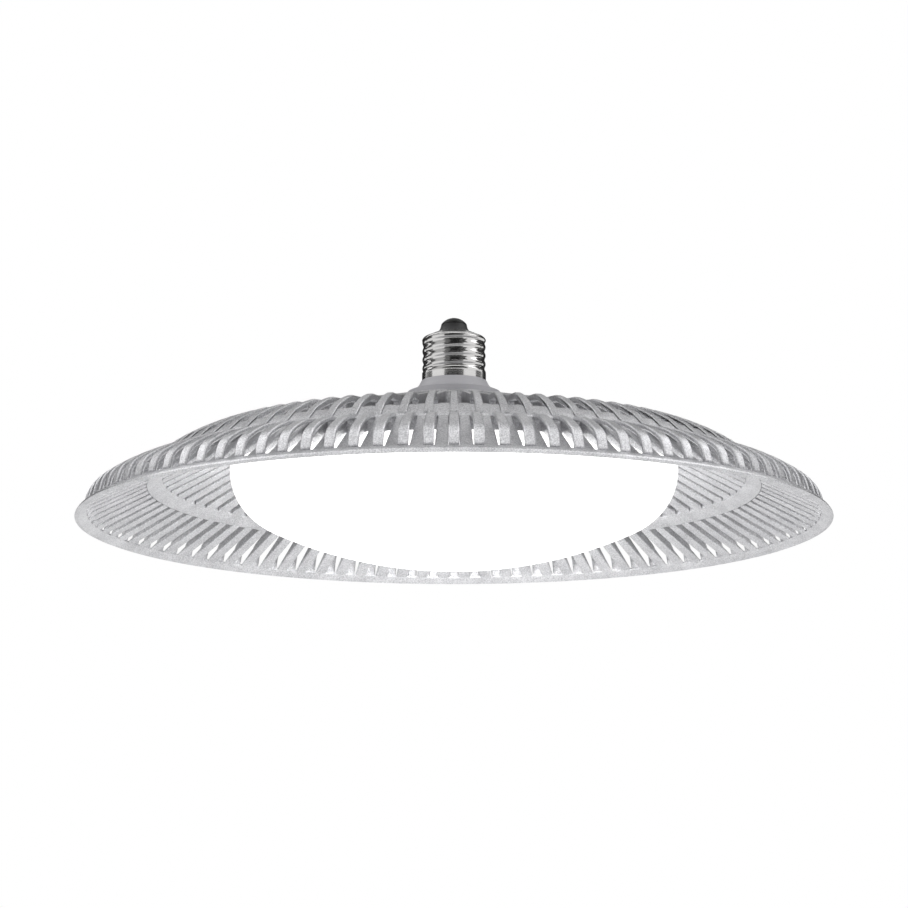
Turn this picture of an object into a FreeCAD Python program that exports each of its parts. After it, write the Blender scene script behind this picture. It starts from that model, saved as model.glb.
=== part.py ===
"""A flying-saucer LED bulb with a 27 mm screw cap, millimetres.

Frame: the origin lies on the axis at the lower edge of the screw shell and +Z runs up to the cap's tip.
The dish and the dome hang below, with the rim plane at z = -rim_drop.
"""
import FreeCAD
import Part
import Sketcher
import math
import os

Vector = FreeCAD.Vector
SketchRule = Sketcher.Constraint

SIZES = {
    # screw cap
    "cap_radius": 13.2,
    "skirt_height": 4.5,
    "skirt_wall": 0.8,
    "thread_pitch": 3.63,
    "thread_height": 12.9,
    "thread_depth": 0.6,
    "thread_wall": 0.5,
    "crest_setback": 0.1,
    "shoulder_height": 3.6,
    "shoulder_round_run": 1.5,
    "shoulder_round_rise": 1.4,
    "shoulder_round_radius": 2.2,
    "shoulder_wall": 0.8,
    "insulator_radius": 6.6,
    "insulator_taper": 1.25,
    "insulator_height": 2.9,
    "insulator_flare_radius": 5.0,
    "contact_radius": 5.2,
    "contact_height": 3.0,
    "contact_edge": 0.4,
    # collar
    "collar_overhang": 0.5,
    "collar_band": 1.0,
    "collar_band_flare": 0.3,
    "collar_base_radius": 19.3,
    "collar_lip": 2.5,
    "collar_height": 7.4,
    "collar_flare_radius": 7.0,
    "collar_bore_radius": 9.0,
    "spigot_height": 4.3,
    "neck_radius": 10.5,
    "neck_wall": 3.0,
    "fit_clearance": 0.1,
    # dish
    "rim_drop": 60.0,
    "rim_radius": 155.0,
    "rim_edge": 0.7,
    "rim_lip": 1.8,
    "flange_width": 5.0,
    "flange_edge": 0.8,
    "flange_seat": 1.8,
    "flange_bevel": 0.6,
    "flange_bevel_rise": 0.9,
    "mid_ring_width": 6.5,
    "mid_ring_side_height": 5.9,
    "mid_ring_crest_height": 6.7,
    "mid_ring_inner_height": 8.6,
    "mid_ring_round": 0.6,
    "mid_ring_round_radius": 0.8,
    "inner_slot_share": 0.505,
    # outer row
    "rib_count": 100,
    "rib_angle": 1.55,
    "bar_angle": 1.95,
    "rib_depth": 1.8,
    "rib_heel": 0.6,
    "rib_heel_radius": 1.1,
    "rib_heel_rise": 1.0,
    "rib_foot": 1.5,
    "rib_leg_lean": 0.9,
    "rib_leg_height": 7.7,
    "rib_leg_tilt": 18.0,
    "rib_shoulder_run": 4.5,
    "rib_shoulder_rise": 5.4,
    "rib_shoulder_radius": 10.0,
    "rib_crown_radius": 50.0,
    "rib_crown_tilt": 32.0,
    "rib_end_height": 7.0,
    # inner row
    "fin_count": 80,
    "fin_angle": 1.55,
    "fin_bar_angle": 2.85,
    "fin_depth": 2.6,
    "fin_nose_height": 0.9,
    "fin_knee_reach": 10.0,
    "fin_knee_height": 9.55,
    "fin_crown_radius": 60.0,
    "fin_bar_height": 2.2,
    # core
    "fin_root_height": 5.8,
    "plate_thickness": 3.5,
    "hub_top_radius": 21.0,
    "channel_radius": 46.0,
    "cavity_radius": 22.0,
    # light
    "pad_setback": 4.0,
    "pad_thickness": 0.4,
    "board_clearance": 2.0,
    "board_thickness": 1.6,
    "board_hole_radius": 5.0,
    "chip_side": 3.5,
    "chip_height": 0.8,
    "chip_ring_step": 13.0,
    "chip_ring_count": 5,
    "chips_per_ring_step": 6,
    "screw_circle": 46.0,
    "screw_count": 6,
    "screw_radius": 1.5,
    "screw_head_radius": 2.75,
    "screw_head_height": 1.8,
    "screw_head_side": 0.9,
    "screw_head_taper": 0.8,
    "screw_bite": 2.8,
    "screw_clearance": 0.2,
    "connector_length": 7.0,
    "connector_width": 6.0,
    "connector_height": 3.0,
    "connector_reach": 9.0,
    # dome
    "dome_radius": 92.0,
    "dome_land": 3.0,
    "dome_wall": 2.0,
    "dome_flange_width": 6.0,
    "dome_skirt": 4.9,
    "dome_depth": 39.0,
    "dome_side_radius": 24.0,
    "gasket_thickness": 0.6,
    # driver
    "housing_wall": 1.0,
    "cover_thickness": 1.2,
    "cover_ring_height": 1.6,
    "cover_ring_width": 2.2,
    "driver_board_setback": 0.4,
    "driver_board_thickness": 1.6,
    "driver_headroom": 2.1,
    "bulk_radius": 5.0,
    "bulk_height": 14.5,
    "bulk_x": -12.0,
    "bulk_y": 3.0,
    "output_radius": 3.0,
    "output_height": 10.0,
    "output_x": -14.0,
    "output_y": -6.0,
    "transformer_length": 12.0,
    "transformer_width": 11.0,
    "transformer_height": 10.0,
    "transformer_x": 8.0,
    "transformer_y": -7.0,
    "choke_radius": 4.0,
    "choke_height": 9.0,
    "choke_x": -7.0,
    "choke_y": -12.0,
    "film_length": 10.0,
    "film_width": 5.0,
    "film_height": 9.0,
    "film_x": 6.0,
    "film_y": 13.0,
    "bridge_length": 6.0,
    "bridge_width": 5.0,
    "bridge_height": 2.5,
    "bridge_x": 12.0,
    "bridge_y": 4.0,
    "ic_length": 5.0,
    "ic_width": 4.0,
    "ic_height": 1.6,
    "ic_x": -1.0,
    "ic_y": -4.0,
    "varistor_radius": 3.5,
    "varistor_thickness": 3.0,
    "varistor_x": -4.0,
    "varistor_y": 14.0,
    "fuse_radius": 1.6,
    "fuse_length": 8.0,
    "fuse_y": 8.5,
    "lead_radius": 0.7,
    "lead_bend": 2.0,
    "lead_spacing": 5.0,
    "live_y": 3.5,
    "neutral_x": 5.0,
    "neutral_y": 3.0,
    "neutral_bend_height": 9.0,
}

DOC = FreeCAD.newDocument("ufo_led_bulb")
SHEET = DOC.addObject("Spreadsheet::Sheet", "dims")
for line, (alias, value) in enumerate(SIZES.items(), start=1):
    SHEET.set(f"A{line}", alias)
    SHEET.set(f"B{line}", str(value))
    SHEET.setAlias(f"B{line}", alias)
DOC.recompute()

NODES = []
VOLUME_SHARE = 0.01


def number(expression):
    """The value that an expression over the sheet has now."""
    return float(SHEET.evalExpression(expression))


def size(alias):
    return float(SHEET.get(alias))


def keep(item, label):
    """Names a finished object as a node of the part."""
    item.Label = label
    NODES.append(item)
    return item


def sketch_on(body, role, name):
    plane = next(f for f in body.Origin.OriginFeatures if f.Role == role)
    sketch = body.newObject("Sketcher::SketchObject", name)
    sketch.AttachmentSupport = [(plane, "")]
    sketch.MapMode = "FlatFace"
    return sketch


def arc_between(start, end, radius, turn):
    """The short arc from start to end that turns left or right."""
    chord = end - start
    side = Vector(-chord.y, chord.x, 0) / chord.Length
    rise = math.sqrt(radius ** 2 - chord.Length ** 2 / 4)
    centre = (start + end) / 2 + side * (rise if turn == "left" else -rise)
    first, last = (start, end) if turn == "left" else (end, start)
    angles = [math.atan2((p - centre).y, (p - centre).x) for p in (first, last)]
    return Part.ArcOfCircle(Part.Circle(centre, Vector(0, 0, 1), radius), *angles)


def bind(sketch, kind, first, second, expression):
    """Ties a point's distance from the origin to an expression, or the point to an axis where that is 0."""
    if expression == "0":
        sketch.addConstraint(SketchRule("PointOnObject", *second, -2 if kind == "DistanceX" else -1))
        return
    index = sketch.addConstraint(SketchRule(kind, *first, *second, number(expression)))
    sketch.setExpression(f"Constraints[{index}]", expression)


def outline(sketch, corners):
    """Draws a closed outline of corners (x, y), or (x, y, turn, radius) where an arc follows."""
    points = [Vector(number(c[0]), number(c[1]), 0) for c in corners]
    ends = []
    for index, corner in enumerate(corners):
        start = points[index]
        end = points[(index + 1) % len(points)]
        if len(corner) == 2:
            sketch.addGeometry(Part.LineSegment(start, end))
            ends.append((1, 2))
        else:
            sketch.addGeometry(arc_between(start, end, number(corner[3]), corner[2]))
            ends.append((1, 2) if corner[2] == "left" else (2, 1))
    for index, corner in enumerate(corners):
        following = (index + 1) % len(corners)
        sketch.addConstraint(SketchRule("Coincident", index, ends[index][1], following, ends[following][0]))
    for index, corner in enumerate(corners):
        place = (index, ends[index][0])
        bind(sketch, "DistanceX", (-1, 1), place, corner[0])
        bind(sketch, "DistanceY", (-1, 1), place, corner[1])
        if len(corner) == 4:
            rule = sketch.addConstraint(SketchRule("Radius", index, number(corner[3])))
            sketch.setExpression(f"Constraints[{rule}]", corner[3])


def turned(name, corners, angle=None):
    """A body with its section turned about Z, all round or by an angle centred on the section."""
    body = DOC.addObject("PartDesign::Body", name + "_body")
    sketch = sketch_on(body, "XZ_Plane", name + "_section")
    outline(sketch, corners)
    feature = body.newObject("PartDesign::Revolution", name + "_turn")
    feature.Profile = sketch
    feature.ReferenceAxis = (sketch, ["V_Axis"])
    if angle is None:
        feature.Angle = 360
    else:
        feature.Midplane = True
        feature.setExpression("Angle", angle)
    DOC.recompute()
    return body, sketch, feature


def around(body, sketch, feature, count, axis="V_Axis"):
    """Repeats a feature evenly about Z."""
    pattern = body.newObject("PartDesign::PolarPattern", feature.Name + "_row")
    pattern.Originals = [feature]
    pattern.Axis = (sketch, [axis])
    pattern.Angle = 360
    pattern.setExpression("Occurrences", count)
    body.Tip = pattern
    DOC.recompute()


def ring(label, corners):
    body = turned(label, corners)[0]
    return keep(body, label)


def row(label, corners, angle, count, phase=None):
    """A row of equal wedge-sided pieces about Z, turned by a phase angle where one is given."""
    body, sketch, feature = turned(label, corners, angle)
    around(body, sketch, feature, count)
    if phase:
        body.Placement.Rotation = FreeCAD.Rotation(Vector(0, 0, 1), number(phase))
        body.setExpression("Placement.Rotation.Angle", phase)
    return keep(body, label)


def drill(body, name, radius, z, depth):
    """Round holes on the screw circle, cut upwards from z."""
    before = body.Shape.Volume
    sketch = sketch_on(body, "XY_Plane", name + "_plan")
    sketch.setExpression("AttachmentOffset.Base.z", z)
    place = Vector(number("dims.screw_circle"), 0, 0)
    sketch.addGeometry(Part.Circle(place, Vector(0, 0, 1), number(radius)))
    bind(sketch, "DistanceX", (-1, 1), (0, 3), "dims.screw_circle")
    bind(sketch, "DistanceY", (-1, 1), (0, 3), "0")
    rule = sketch.addConstraint(SketchRule("Radius", 0, number(radius)))
    sketch.setExpression(f"Constraints[{rule}]", radius)
    pocket = body.newObject("PartDesign::Pocket", name + "_cut")
    pocket.Profile = sketch
    pocket.Reversed = True
    pocket.setExpression("Length", depth)
    around(body, sketch, pocket, "dims.screw_count", "N_Axis")
    cut = before - body.Shape.Volume
    wanted = math.pi * number(radius) ** 2 * number(depth) * size("screw_count")
    if abs(cut - wanted) > wanted * VOLUME_SHARE:
        raise RuntimeError(f"{name} cut {cut:.1f} of {wanted:.1f} cubic mm")


def stand(item, x, y, z):
    for axis, expression in zip("xyz", (x, y, z)):
        item.setExpression(f"Placement.Base.{axis}", expression)


def cylinder(label, radius, height, x, y, z):
    item = DOC.addObject("Part::Cylinder", label + "_solid")
    item.setExpression("Radius", radius)
    item.setExpression("Height", height)
    stand(item, x, y, z)
    return keep(item, label)


def block(label, length, width, height, x, y, z):
    """A box centred on x and y that stands on z."""
    item = DOC.addObject("Part::Box", label + "_solid")
    item.setExpression("Length", length)
    item.setExpression("Width", width)
    item.setExpression("Height", height)
    stand(item, f"{x} - ({length}) / 2", f"{y} - ({width}) / 2", z)
    return keep(item, label)


def lead(label, points):
    """A round wire along straight runs joined by tangent bends."""
    bend = size("lead_bend")
    stops = [Vector(*p) for p in points]
    edges = []
    here = stops[0]
    for before, corner, after in zip(stops, stops[1:], stops[2:]):
        into = (corner - before).normalize()
        out = (after - corner).normalize()
        half = into.getAngle(out) / 2
        cut = bend * math.tan(half)
        enter = corner - into * cut
        leave = corner + out * cut
        inward = (out - into).normalize()
        middle = corner + inward * (bend / math.cos(half) - bend)
        edges.append(Part.makeLine(here, enter))
        edges.append(Part.Arc(enter, middle, leave).toShape())
        here = leave
    edges.append(Part.makeLine(here, stops[-1]))
    start = (stops[1] - stops[0]).normalize()
    profile = Part.Wire([Part.makeCircle(size("lead_radius"), stops[0], start)])
    item = DOC.addObject("Part::Feature", label + "_solid")
    item.Shape = Part.Wire(edges).makePipeShell([profile], True, False)
    item.Placement = FreeCAD.Placement()
    return keep(item, label)


# Shared heights, from the cap down: the driver's cavity sets the plate's depth.
SEAT_Z = "(-dims.collar_height)"
CEILING_Z = f"({SEAT_Z} - dims.neck_wall)"
CUP_TOP = f"({CEILING_Z} - dims.fit_clearance)"
DRIVER_TOP = f"({CUP_TOP} - dims.housing_wall - dims.driver_headroom - dims.bulk_height)"
DRIVER_Z = f"({DRIVER_TOP} - dims.driver_board_thickness)"
COVER_TOP = f"({DRIVER_Z} - dims.cover_ring_height)"
PLATE_Z = f"({COVER_TOP} - dims.cover_thickness)"
PLATE_TOP = f"({PLATE_Z} + dims.plate_thickness)"
PLATE_UNDER = f"({PLATE_TOP} - dims.fin_bar_height)"
FIN_ROOT_TOP = f"({PLATE_UNDER} + dims.fin_root_height)"
RIM_Z = "(-dims.rim_drop)"

# Shared radii: the plate lies outside the dome, and the slots share the room from there to the flange.
PLATE_R = "(dims.dome_radius + dims.dome_land)"
SLOT_OUT = "(dims.rim_radius - dims.flange_width)"
MID_IN = f"({PLATE_R} + ({SLOT_OUT} - {PLATE_R} - dims.mid_ring_width) * dims.inner_slot_share)"
MID_OUT = f"({MID_IN} + dims.mid_ring_width)"
SLOPE = f"(({PLATE_UNDER} - {RIM_Z}) / (dims.rim_radius - {PLATE_R}))"


def under(radius):
    """Height of the dish's underside, a cone that rises from the rim to the plate."""
    return f"({RIM_Z} + {SLOPE} * (dims.rim_radius - {radius}))"


FLANGE_TOP = f"({under(SLOT_OUT)} + dims.flange_edge)"
MID_SIDE_Z = f"({under(MID_OUT)} + dims.mid_ring_side_height)"
MID_TOP_IN = f"({under(MID_IN)} + dims.mid_ring_inner_height)"
TOE_R = f"({MID_OUT} - dims.mid_ring_round)"
TOE_Z = f"({under(MID_OUT)} + dims.mid_ring_crest_height)"

# Rim flange: a thin ring that turns down to a bevelled lip.
ring("rim_flange", [
    (SLOT_OUT, under(SLOT_OUT)),
    ("dims.rim_radius - dims.rim_lip", RIM_Z),
    ("dims.rim_radius", f"{RIM_Z} + dims.rim_edge"),
    ("dims.rim_radius - dims.flange_bevel", f"{RIM_Z} + dims.rim_edge + dims.flange_bevel_rise"),
    (f"{SLOT_OUT} + dims.flange_seat", FLANGE_TOP),
    (SLOT_OUT, FLANGE_TOP),
])

# Outer bars lie between the slots, outer ribs arch over the slots.
row("outer_bars", [
    (MID_OUT, under(MID_OUT)),
    (SLOT_OUT, under(SLOT_OUT)),
    (SLOT_OUT, FLANGE_TOP),
    (MID_OUT, MID_SIDE_Z),
], "dims.bar_angle", "dims.rib_count", "180 / dims.rib_count")

LEG_R = f"({SLOT_OUT} + dims.rib_foot - dims.rib_leg_lean)"
LEG_Z = f"({RIM_Z} + dims.rib_leg_height)"
CROWN_R = f"({LEG_R} - dims.rib_shoulder_run)"
CROWN_Z = f"({LEG_Z} + dims.rib_shoulder_rise)"
RIB_END_Z = f"({under(MID_OUT)} + dims.rib_end_height)"
row("outer_ribs", [
    (f"{SLOT_OUT} + dims.rib_heel", FLANGE_TOP, "left", "dims.rib_heel_radius"),
    (f"{SLOT_OUT} + dims.rib_foot", f"{FLANGE_TOP} + dims.rib_heel_rise"),
    (LEG_R, LEG_Z, "left", "dims.rib_shoulder_radius"),
    (CROWN_R, CROWN_Z, "left", "dims.rib_crown_radius"),
    (MID_OUT, RIB_END_Z),
    (MID_OUT, f"{RIB_END_Z} - dims.rib_depth", "right", "dims.rib_crown_radius - dims.rib_depth"),
    (f"{CROWN_R} - dims.rib_depth * sin(dims.rib_crown_tilt)",
     f"{CROWN_Z} - dims.rib_depth * cos(dims.rib_crown_tilt)", "right",
     "dims.rib_shoulder_radius - dims.rib_depth"),
    (f"{LEG_R} - dims.rib_depth * cos(dims.rib_leg_tilt)",
     f"{LEG_Z} - dims.rib_depth * sin(dims.rib_leg_tilt)"),
    (SLOT_OUT, FLANGE_TOP),
], "dims.rib_angle", "dims.rib_count")

# Mid ring: both rows of slots end on it.
ring("mid_ring", [
    (MID_IN, under(MID_IN)),
    (MID_OUT, under(MID_OUT)),
    (MID_OUT, MID_SIDE_Z, "left", "dims.mid_ring_round_radius"),
    (TOE_R, TOE_Z),
    (MID_IN, MID_TOP_IN),
])

# Inner bars and inner ribs; a rib's toe rests on the mid ring.
row("inner_bars", [
    (PLATE_R, PLATE_UNDER),
    (MID_IN, under(MID_IN)),
    (MID_IN, f"{under(MID_IN)} + dims.fin_bar_height"),
    (PLATE_R, PLATE_TOP),
], "dims.fin_bar_angle", "dims.fin_count", "180 / dims.fin_count")

KNEE_R = f"({PLATE_R} + dims.fin_knee_reach)"
KNEE_Z = f"({under(KNEE_R)} + dims.fin_knee_height)"
FIN_END_Z = f"({MID_TOP_IN} + dims.fin_nose_height)"
row("inner_ribs", [
    (TOE_R, TOE_Z),
    (TOE_R, f"{TOE_Z} + dims.fin_nose_height"),
    (MID_IN, FIN_END_Z, "left", "dims.fin_crown_radius"),
    (KNEE_R, KNEE_Z),
    (PLATE_R, FIN_ROOT_TOP),
    (PLATE_R, f"{FIN_ROOT_TOP} - dims.fin_depth"),
    (KNEE_R, f"{KNEE_Z} - dims.fin_depth", "right", "dims.fin_crown_radius - dims.fin_depth"),
    (MID_IN, f"{FIN_END_Z} - dims.fin_depth"),
    (MID_IN, MID_TOP_IN),
], "dims.fin_angle", "dims.fin_count")

# Core: hub, plate and the inner lengths of the fins, with the driver's cavity open below.
core = turned("heat_sink_core", [
    ("dims.neck_radius", SEAT_Z),
    ("dims.hub_top_radius", SEAT_Z),
    (PLATE_R, FIN_ROOT_TOP),
    (PLATE_R, PLATE_Z),
    ("dims.cavity_radius", PLATE_Z),
    ("dims.cavity_radius", CEILING_Z),
    ("dims.neck_radius", CEILING_Z),
])[0]
channel = sketch_on(core, "XZ_Plane", "channel_section")
channel.AttachmentOffset = FreeCAD.Placement(Vector(), FreeCAD.Rotation(Vector(0, 1, 0), 1))
channel.setExpression("AttachmentOffset.Rotation.Angle", "180 / dims.fin_count")
outline(channel, [
    ("dims.channel_radius", PLATE_TOP),
    (f"{PLATE_R} + dims.fin_depth", PLATE_TOP),
    (f"{PLATE_R} + dims.fin_depth", SEAT_Z),
    ("dims.channel_radius", SEAT_Z),
])
groove = core.newObject("PartDesign::Groove", "channel_cut")
groove.Profile = channel
groove.ReferenceAxis = (channel, ["V_Axis"])
groove.Midplane = True
groove.setExpression("Angle", "360 / dims.fin_count - dims.fin_angle")
around(core, channel, groove, "dims.fin_count")
drill(core, "plate_holes", "dims.screw_radius", PLATE_Z, "dims.screw_bite")
keep(core, "heat_sink_core")

# Light: pad, board, screws, LEDs and their plug under the plate.
BOARD_TOP = f"({PLATE_Z} - dims.pad_thickness)"
BOARD_Z = f"({BOARD_TOP} - dims.board_thickness)"
SCREW_ROOM = "dims.screw_radius + dims.screw_clearance"
FLANGE_IN = "(dims.dome_radius - dims.dome_flange_width)"
BOARD_R = f"({FLANGE_IN} - dims.board_clearance)"


def drilled_disc(label, radius, z, thickness):
    """A flat disc with a hole for the leads and holes for the screws."""
    disc = turned(label, [
        ("dims.board_hole_radius", z),
        (radius, z),
        (radius, f"{z} + {thickness}"),
        ("dims.board_hole_radius", f"{z} + {thickness}"),
    ])[0]
    drill(disc, label + "_holes", SCREW_ROOM, z, thickness)
    return keep(disc, label)


drilled_disc("thermal_pad", f"{BOARD_R} - dims.pad_setback", BOARD_TOP, "dims.pad_thickness")
drilled_disc("led_board", BOARD_R, BOARD_Z, "dims.board_thickness")

SCREW_X = "dims.screw_circle"
SCREW_TIP = f"({PLATE_Z} + dims.screw_bite)"
HEAD_Z = f"({BOARD_Z} - dims.screw_head_height)"
screw_body = DOC.addObject("PartDesign::Body", "screw_body")
screw_sketch = sketch_on(screw_body, "XZ_Plane", "screw_section")
screw_corners = [
    (SCREW_X, HEAD_Z),
    (f"{SCREW_X} + dims.screw_head_radius - dims.screw_head_taper", HEAD_Z),
    (f"{SCREW_X} + dims.screw_head_radius", f"{BOARD_Z} - dims.screw_head_side"),
    (f"{SCREW_X} + dims.screw_head_radius", BOARD_Z),
    (f"{SCREW_X} + dims.screw_radius", BOARD_Z),
    (f"{SCREW_X} + dims.screw_radius", SCREW_TIP),
    (SCREW_X, SCREW_TIP),
]
outline(screw_sketch, screw_corners)
axis_start, axis_end = [Vector(number(SCREW_X), number(z), 0) for z in (HEAD_Z, SCREW_TIP)]
screw_axis = screw_sketch.addGeometry(Part.LineSegment(axis_start, axis_end), True)
screw_sketch.addConstraint(SketchRule("Coincident", screw_axis, 1, 0, 1))
screw_sketch.addConstraint(SketchRule("Coincident", screw_axis, 2, len(screw_corners) - 1, 1))
screw_turn = screw_body.newObject("PartDesign::Revolution", "screw_turn")
screw_turn.Profile = screw_sketch
screw_turn.ReferenceAxis = (screw_sketch, ["Axis0"])
screw_turn.Angle = 360
around(screw_body, screw_sketch, screw_turn, "dims.screw_count")
keep(screw_body, "led_board_screws")

chip_side = size("chip_side")
chip_height = size("chip_height")
chips = []
for ring_number in range(1, round(size("chip_ring_count")) + 1):
    in_ring = ring_number * round(size("chips_per_ring_step"))
    for place in range(in_ring):
        corner = Vector(ring_number * size("chip_ring_step") - chip_side / 2, -chip_side / 2,
                        number(BOARD_Z) - chip_height)
        chip = Part.makeBox(chip_side, chip_side, chip_height, corner)
        chip.rotate(Vector(), Vector(0, 0, 1), 360 * place / in_ring)
        chips.append(chip)
led_chips = DOC.addObject("Part::Feature", "led_chips_solids")
led_chips.Shape = Part.makeCompound(chips)
led_chips.Placement = FreeCAD.Placement()
keep(led_chips, "led_chips")

block("led_connector", "dims.connector_length", "dims.connector_width", "dims.connector_height",
      "0", "-dims.connector_reach - dims.connector_width / 2", f"{BOARD_Z} - dims.connector_height")

# Dome: an opal oval bowl with a flat flange, bonded to the plate by a silicone ring.
DOME_TOP = f"({PLATE_Z} - dims.gasket_thickness)"
EQUATOR_Z = f"({DOME_TOP} - dims.dome_skirt)"
SIDE_X = "(dims.dome_radius - dims.dome_side_radius)"
BOWL_R = (f"(({SIDE_X} ^ 2 + dims.dome_depth ^ 2 - dims.dome_side_radius ^ 2)"
          " / (2 * (dims.dome_depth - dims.dome_side_radius)))")
BOWL_LIFT = f"({BOWL_R} - dims.dome_depth)"
INSIDE_R = "(dims.dome_radius - dims.dome_wall)"


def blend(wall):
    """Where the side arc meets the bowl arc, a wall's thickness inside the surface."""
    share = f"(({BOWL_R} - {wall}) / ({BOWL_R} - dims.dome_side_radius))"
    return f"{SIDE_X} * {share}", f"{EQUATOR_Z} + {BOWL_LIFT} * (1 - {share})"


ring("diffuser_dome", [
    (FLANGE_IN, DOME_TOP),
    (FLANGE_IN, f"{DOME_TOP} - dims.dome_wall"),
    (INSIDE_R, f"{DOME_TOP} - dims.dome_wall"),
    (INSIDE_R, EQUATOR_Z, "right", "dims.dome_side_radius - dims.dome_wall"),
    (*blend("dims.dome_wall"), "right", f"{BOWL_R} - dims.dome_wall"),
    ("0", f"{EQUATOR_Z} - dims.dome_depth + dims.dome_wall"),
    ("0", f"{EQUATOR_Z} - dims.dome_depth", "left", BOWL_R),
    (*blend("0"), "left", "dims.dome_side_radius"),
    ("dims.dome_radius", EQUATOR_Z),
    ("dims.dome_radius", DOME_TOP),
])
ring("diffuser_gasket", [
    (FLANGE_IN, DOME_TOP),
    ("dims.dome_radius", DOME_TOP),
    ("dims.dome_radius", PLATE_Z),
    (FLANGE_IN, PLATE_Z),
])

# Neck: a flared plastic collar that plugs into the hub and into the screw shell.
SPIGOT_R = "(dims.cap_radius - dims.skirt_wall - dims.fit_clearance)"
COLLAR_TOP_R = "(dims.cap_radius + dims.collar_overhang)"
ring("neck_collar", [
    ("dims.collar_bore_radius", CEILING_Z),
    ("dims.neck_radius - dims.fit_clearance", CEILING_Z),
    ("dims.neck_radius - dims.fit_clearance", SEAT_Z),
    ("dims.collar_base_radius", SEAT_Z),
    ("dims.collar_base_radius", f"{SEAT_Z} + dims.collar_lip", "right", "dims.collar_flare_radius"),
    (f"{COLLAR_TOP_R} + dims.collar_band_flare", "-dims.collar_band"),
    (COLLAR_TOP_R, "0"),
    (SPIGOT_R, "0"),
    (SPIGOT_R, "dims.spigot_height"),
    ("dims.collar_bore_radius", "dims.spigot_height"),
])

# Screw shell: a circle swept along a slim helix gives the rolled thread.
THREAD_TOP = "(dims.skirt_height + dims.thread_height)"
SHELL_TOP = f"({THREAD_TOP} + dims.shoulder_height)"
CREST_R = "(dims.cap_radius - dims.crest_setback)"
THREAD_R = f"({CREST_R} - dims.thread_depth / 2)"
SHELL_BORE = f"({CREST_R} - dims.thread_depth - dims.thread_wall)"
TIP_SEAT_R = "(dims.insulator_radius + dims.fit_clearance)"


def turned_shape(corners):
    """A plain solid turned about Z from an outline with corners as in outline()."""
    points = [Vector(number(c[0]), number(c[1]), 0) for c in corners]
    edges = []
    for index, corner in enumerate(corners):
        start = points[index]
        end = points[(index + 1) % len(points)]
        if len(corner) == 2:
            edges.append(Part.makeLine(start, end))
        else:
            edges.append(arc_between(start, end, number(corner[3]), corner[2]).toShape())
    section = Part.Face(Part.Wire(edges))
    section.rotate(Vector(), Vector(1, 0, 0), 90)
    return section.revolve(Vector(), Vector(0, 0, 1), 360)


pitch = size("thread_pitch")
skirt_height = size("skirt_height")
thread_top = number(THREAD_TOP)
shell_bore = number(SHELL_BORE)
offset = size("thread_depth") / 2
helix = Part.makeHelix(pitch, thread_top + pitch, offset)
disc = Part.Wire([Part.makeCircle(number(THREAD_R), Vector(offset, 0, 0))])
sweep = Part.BRepOffsetAPI.MakePipeShell(Part.Wire(helix.Edges))
sweep.setTrihedronMode(Vector(), Vector(0, 0, 1))
sweep.add(disc, False, False)
sweep.build()
sweep.makeSolid()
thread = sweep.shape().common(Part.makeCylinder(number(CREST_R) + pitch, thread_top))
shoulder = turned_shape([
    (SHELL_BORE, THREAD_TOP),
    ("dims.cap_radius", THREAD_TOP, "left", "dims.shoulder_round_radius"),
    ("dims.cap_radius - dims.shoulder_round_run", f"{THREAD_TOP} + dims.shoulder_round_rise"),
    (TIP_SEAT_R, SHELL_TOP),
    (f"{TIP_SEAT_R} - dims.shoulder_wall", SHELL_TOP),
    (f"{TIP_SEAT_R} - dims.shoulder_wall", f"{SHELL_TOP} - dims.shoulder_wall"),
])
skirt = Part.makeCylinder(size("cap_radius"), skirt_height)
skirt_bore = Part.makeCylinder(size("cap_radius") - size("skirt_wall"), skirt_height)
bore = Part.makeCylinder(shell_bore, thread_top)
screw_shell = DOC.addObject("Part::Feature", "screw_shell_solid")
screw_shell.Shape = thread.fuse(skirt).cut(skirt_bore.fuse(bore)).fuse(shoulder)
screw_shell.Placement = FreeCAD.Placement()
keep(screw_shell, "screw_shell")

CONTACT_Z = f"({SHELL_TOP} + dims.insulator_height)"
LEAD_HOLE = "(dims.lead_radius + dims.screw_clearance)"
ring("cap_insulator", [
    (LEAD_HOLE, SHELL_TOP),
    ("dims.insulator_radius", SHELL_TOP, "right", "dims.insulator_flare_radius"),
    ("dims.insulator_radius - dims.insulator_taper", CONTACT_Z),
    (LEAD_HOLE, CONTACT_Z),
])
CONTACT_RISE = "(dims.contact_height - dims.contact_edge)"
ring("centre_contact", [
    ("0", CONTACT_Z),
    ("dims.contact_radius", CONTACT_Z),
    ("dims.contact_radius", f"{CONTACT_Z} + dims.contact_edge", "left",
     f"(dims.contact_radius ^ 2 + {CONTACT_RISE} ^ 2) / (2 * {CONTACT_RISE})"),
    ("0", f"{CONTACT_Z} + dims.contact_height"),
])

# Driver: an insulating cup in the hub, closed from below by a cover that carries the board.
CUP_R = "(dims.cavity_radius - dims.fit_clearance)"
CUP_IN = f"({CUP_R} - dims.housing_wall)"
DRIVER_R = f"({CUP_IN} - dims.driver_board_setback)"
ring("driver_housing", [
    (CUP_IN, COVER_TOP),
    (CUP_R, COVER_TOP),
    (CUP_R, CUP_TOP),
    ("dims.collar_bore_radius", CUP_TOP),
    ("dims.collar_bore_radius", f"{CUP_TOP} - dims.housing_wall"),
    (CUP_IN, f"{CUP_TOP} - dims.housing_wall"),
])
ring("driver_cover", [
    ("dims.board_hole_radius", PLATE_Z),
    (CUP_R, PLATE_Z),
    (CUP_R, COVER_TOP),
    (DRIVER_R, COVER_TOP),
    (DRIVER_R, DRIVER_Z),
    (f"{DRIVER_R} - dims.cover_ring_width", DRIVER_Z),
    (f"{DRIVER_R} - dims.cover_ring_width", COVER_TOP),
    ("dims.board_hole_radius", COVER_TOP),
])
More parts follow.
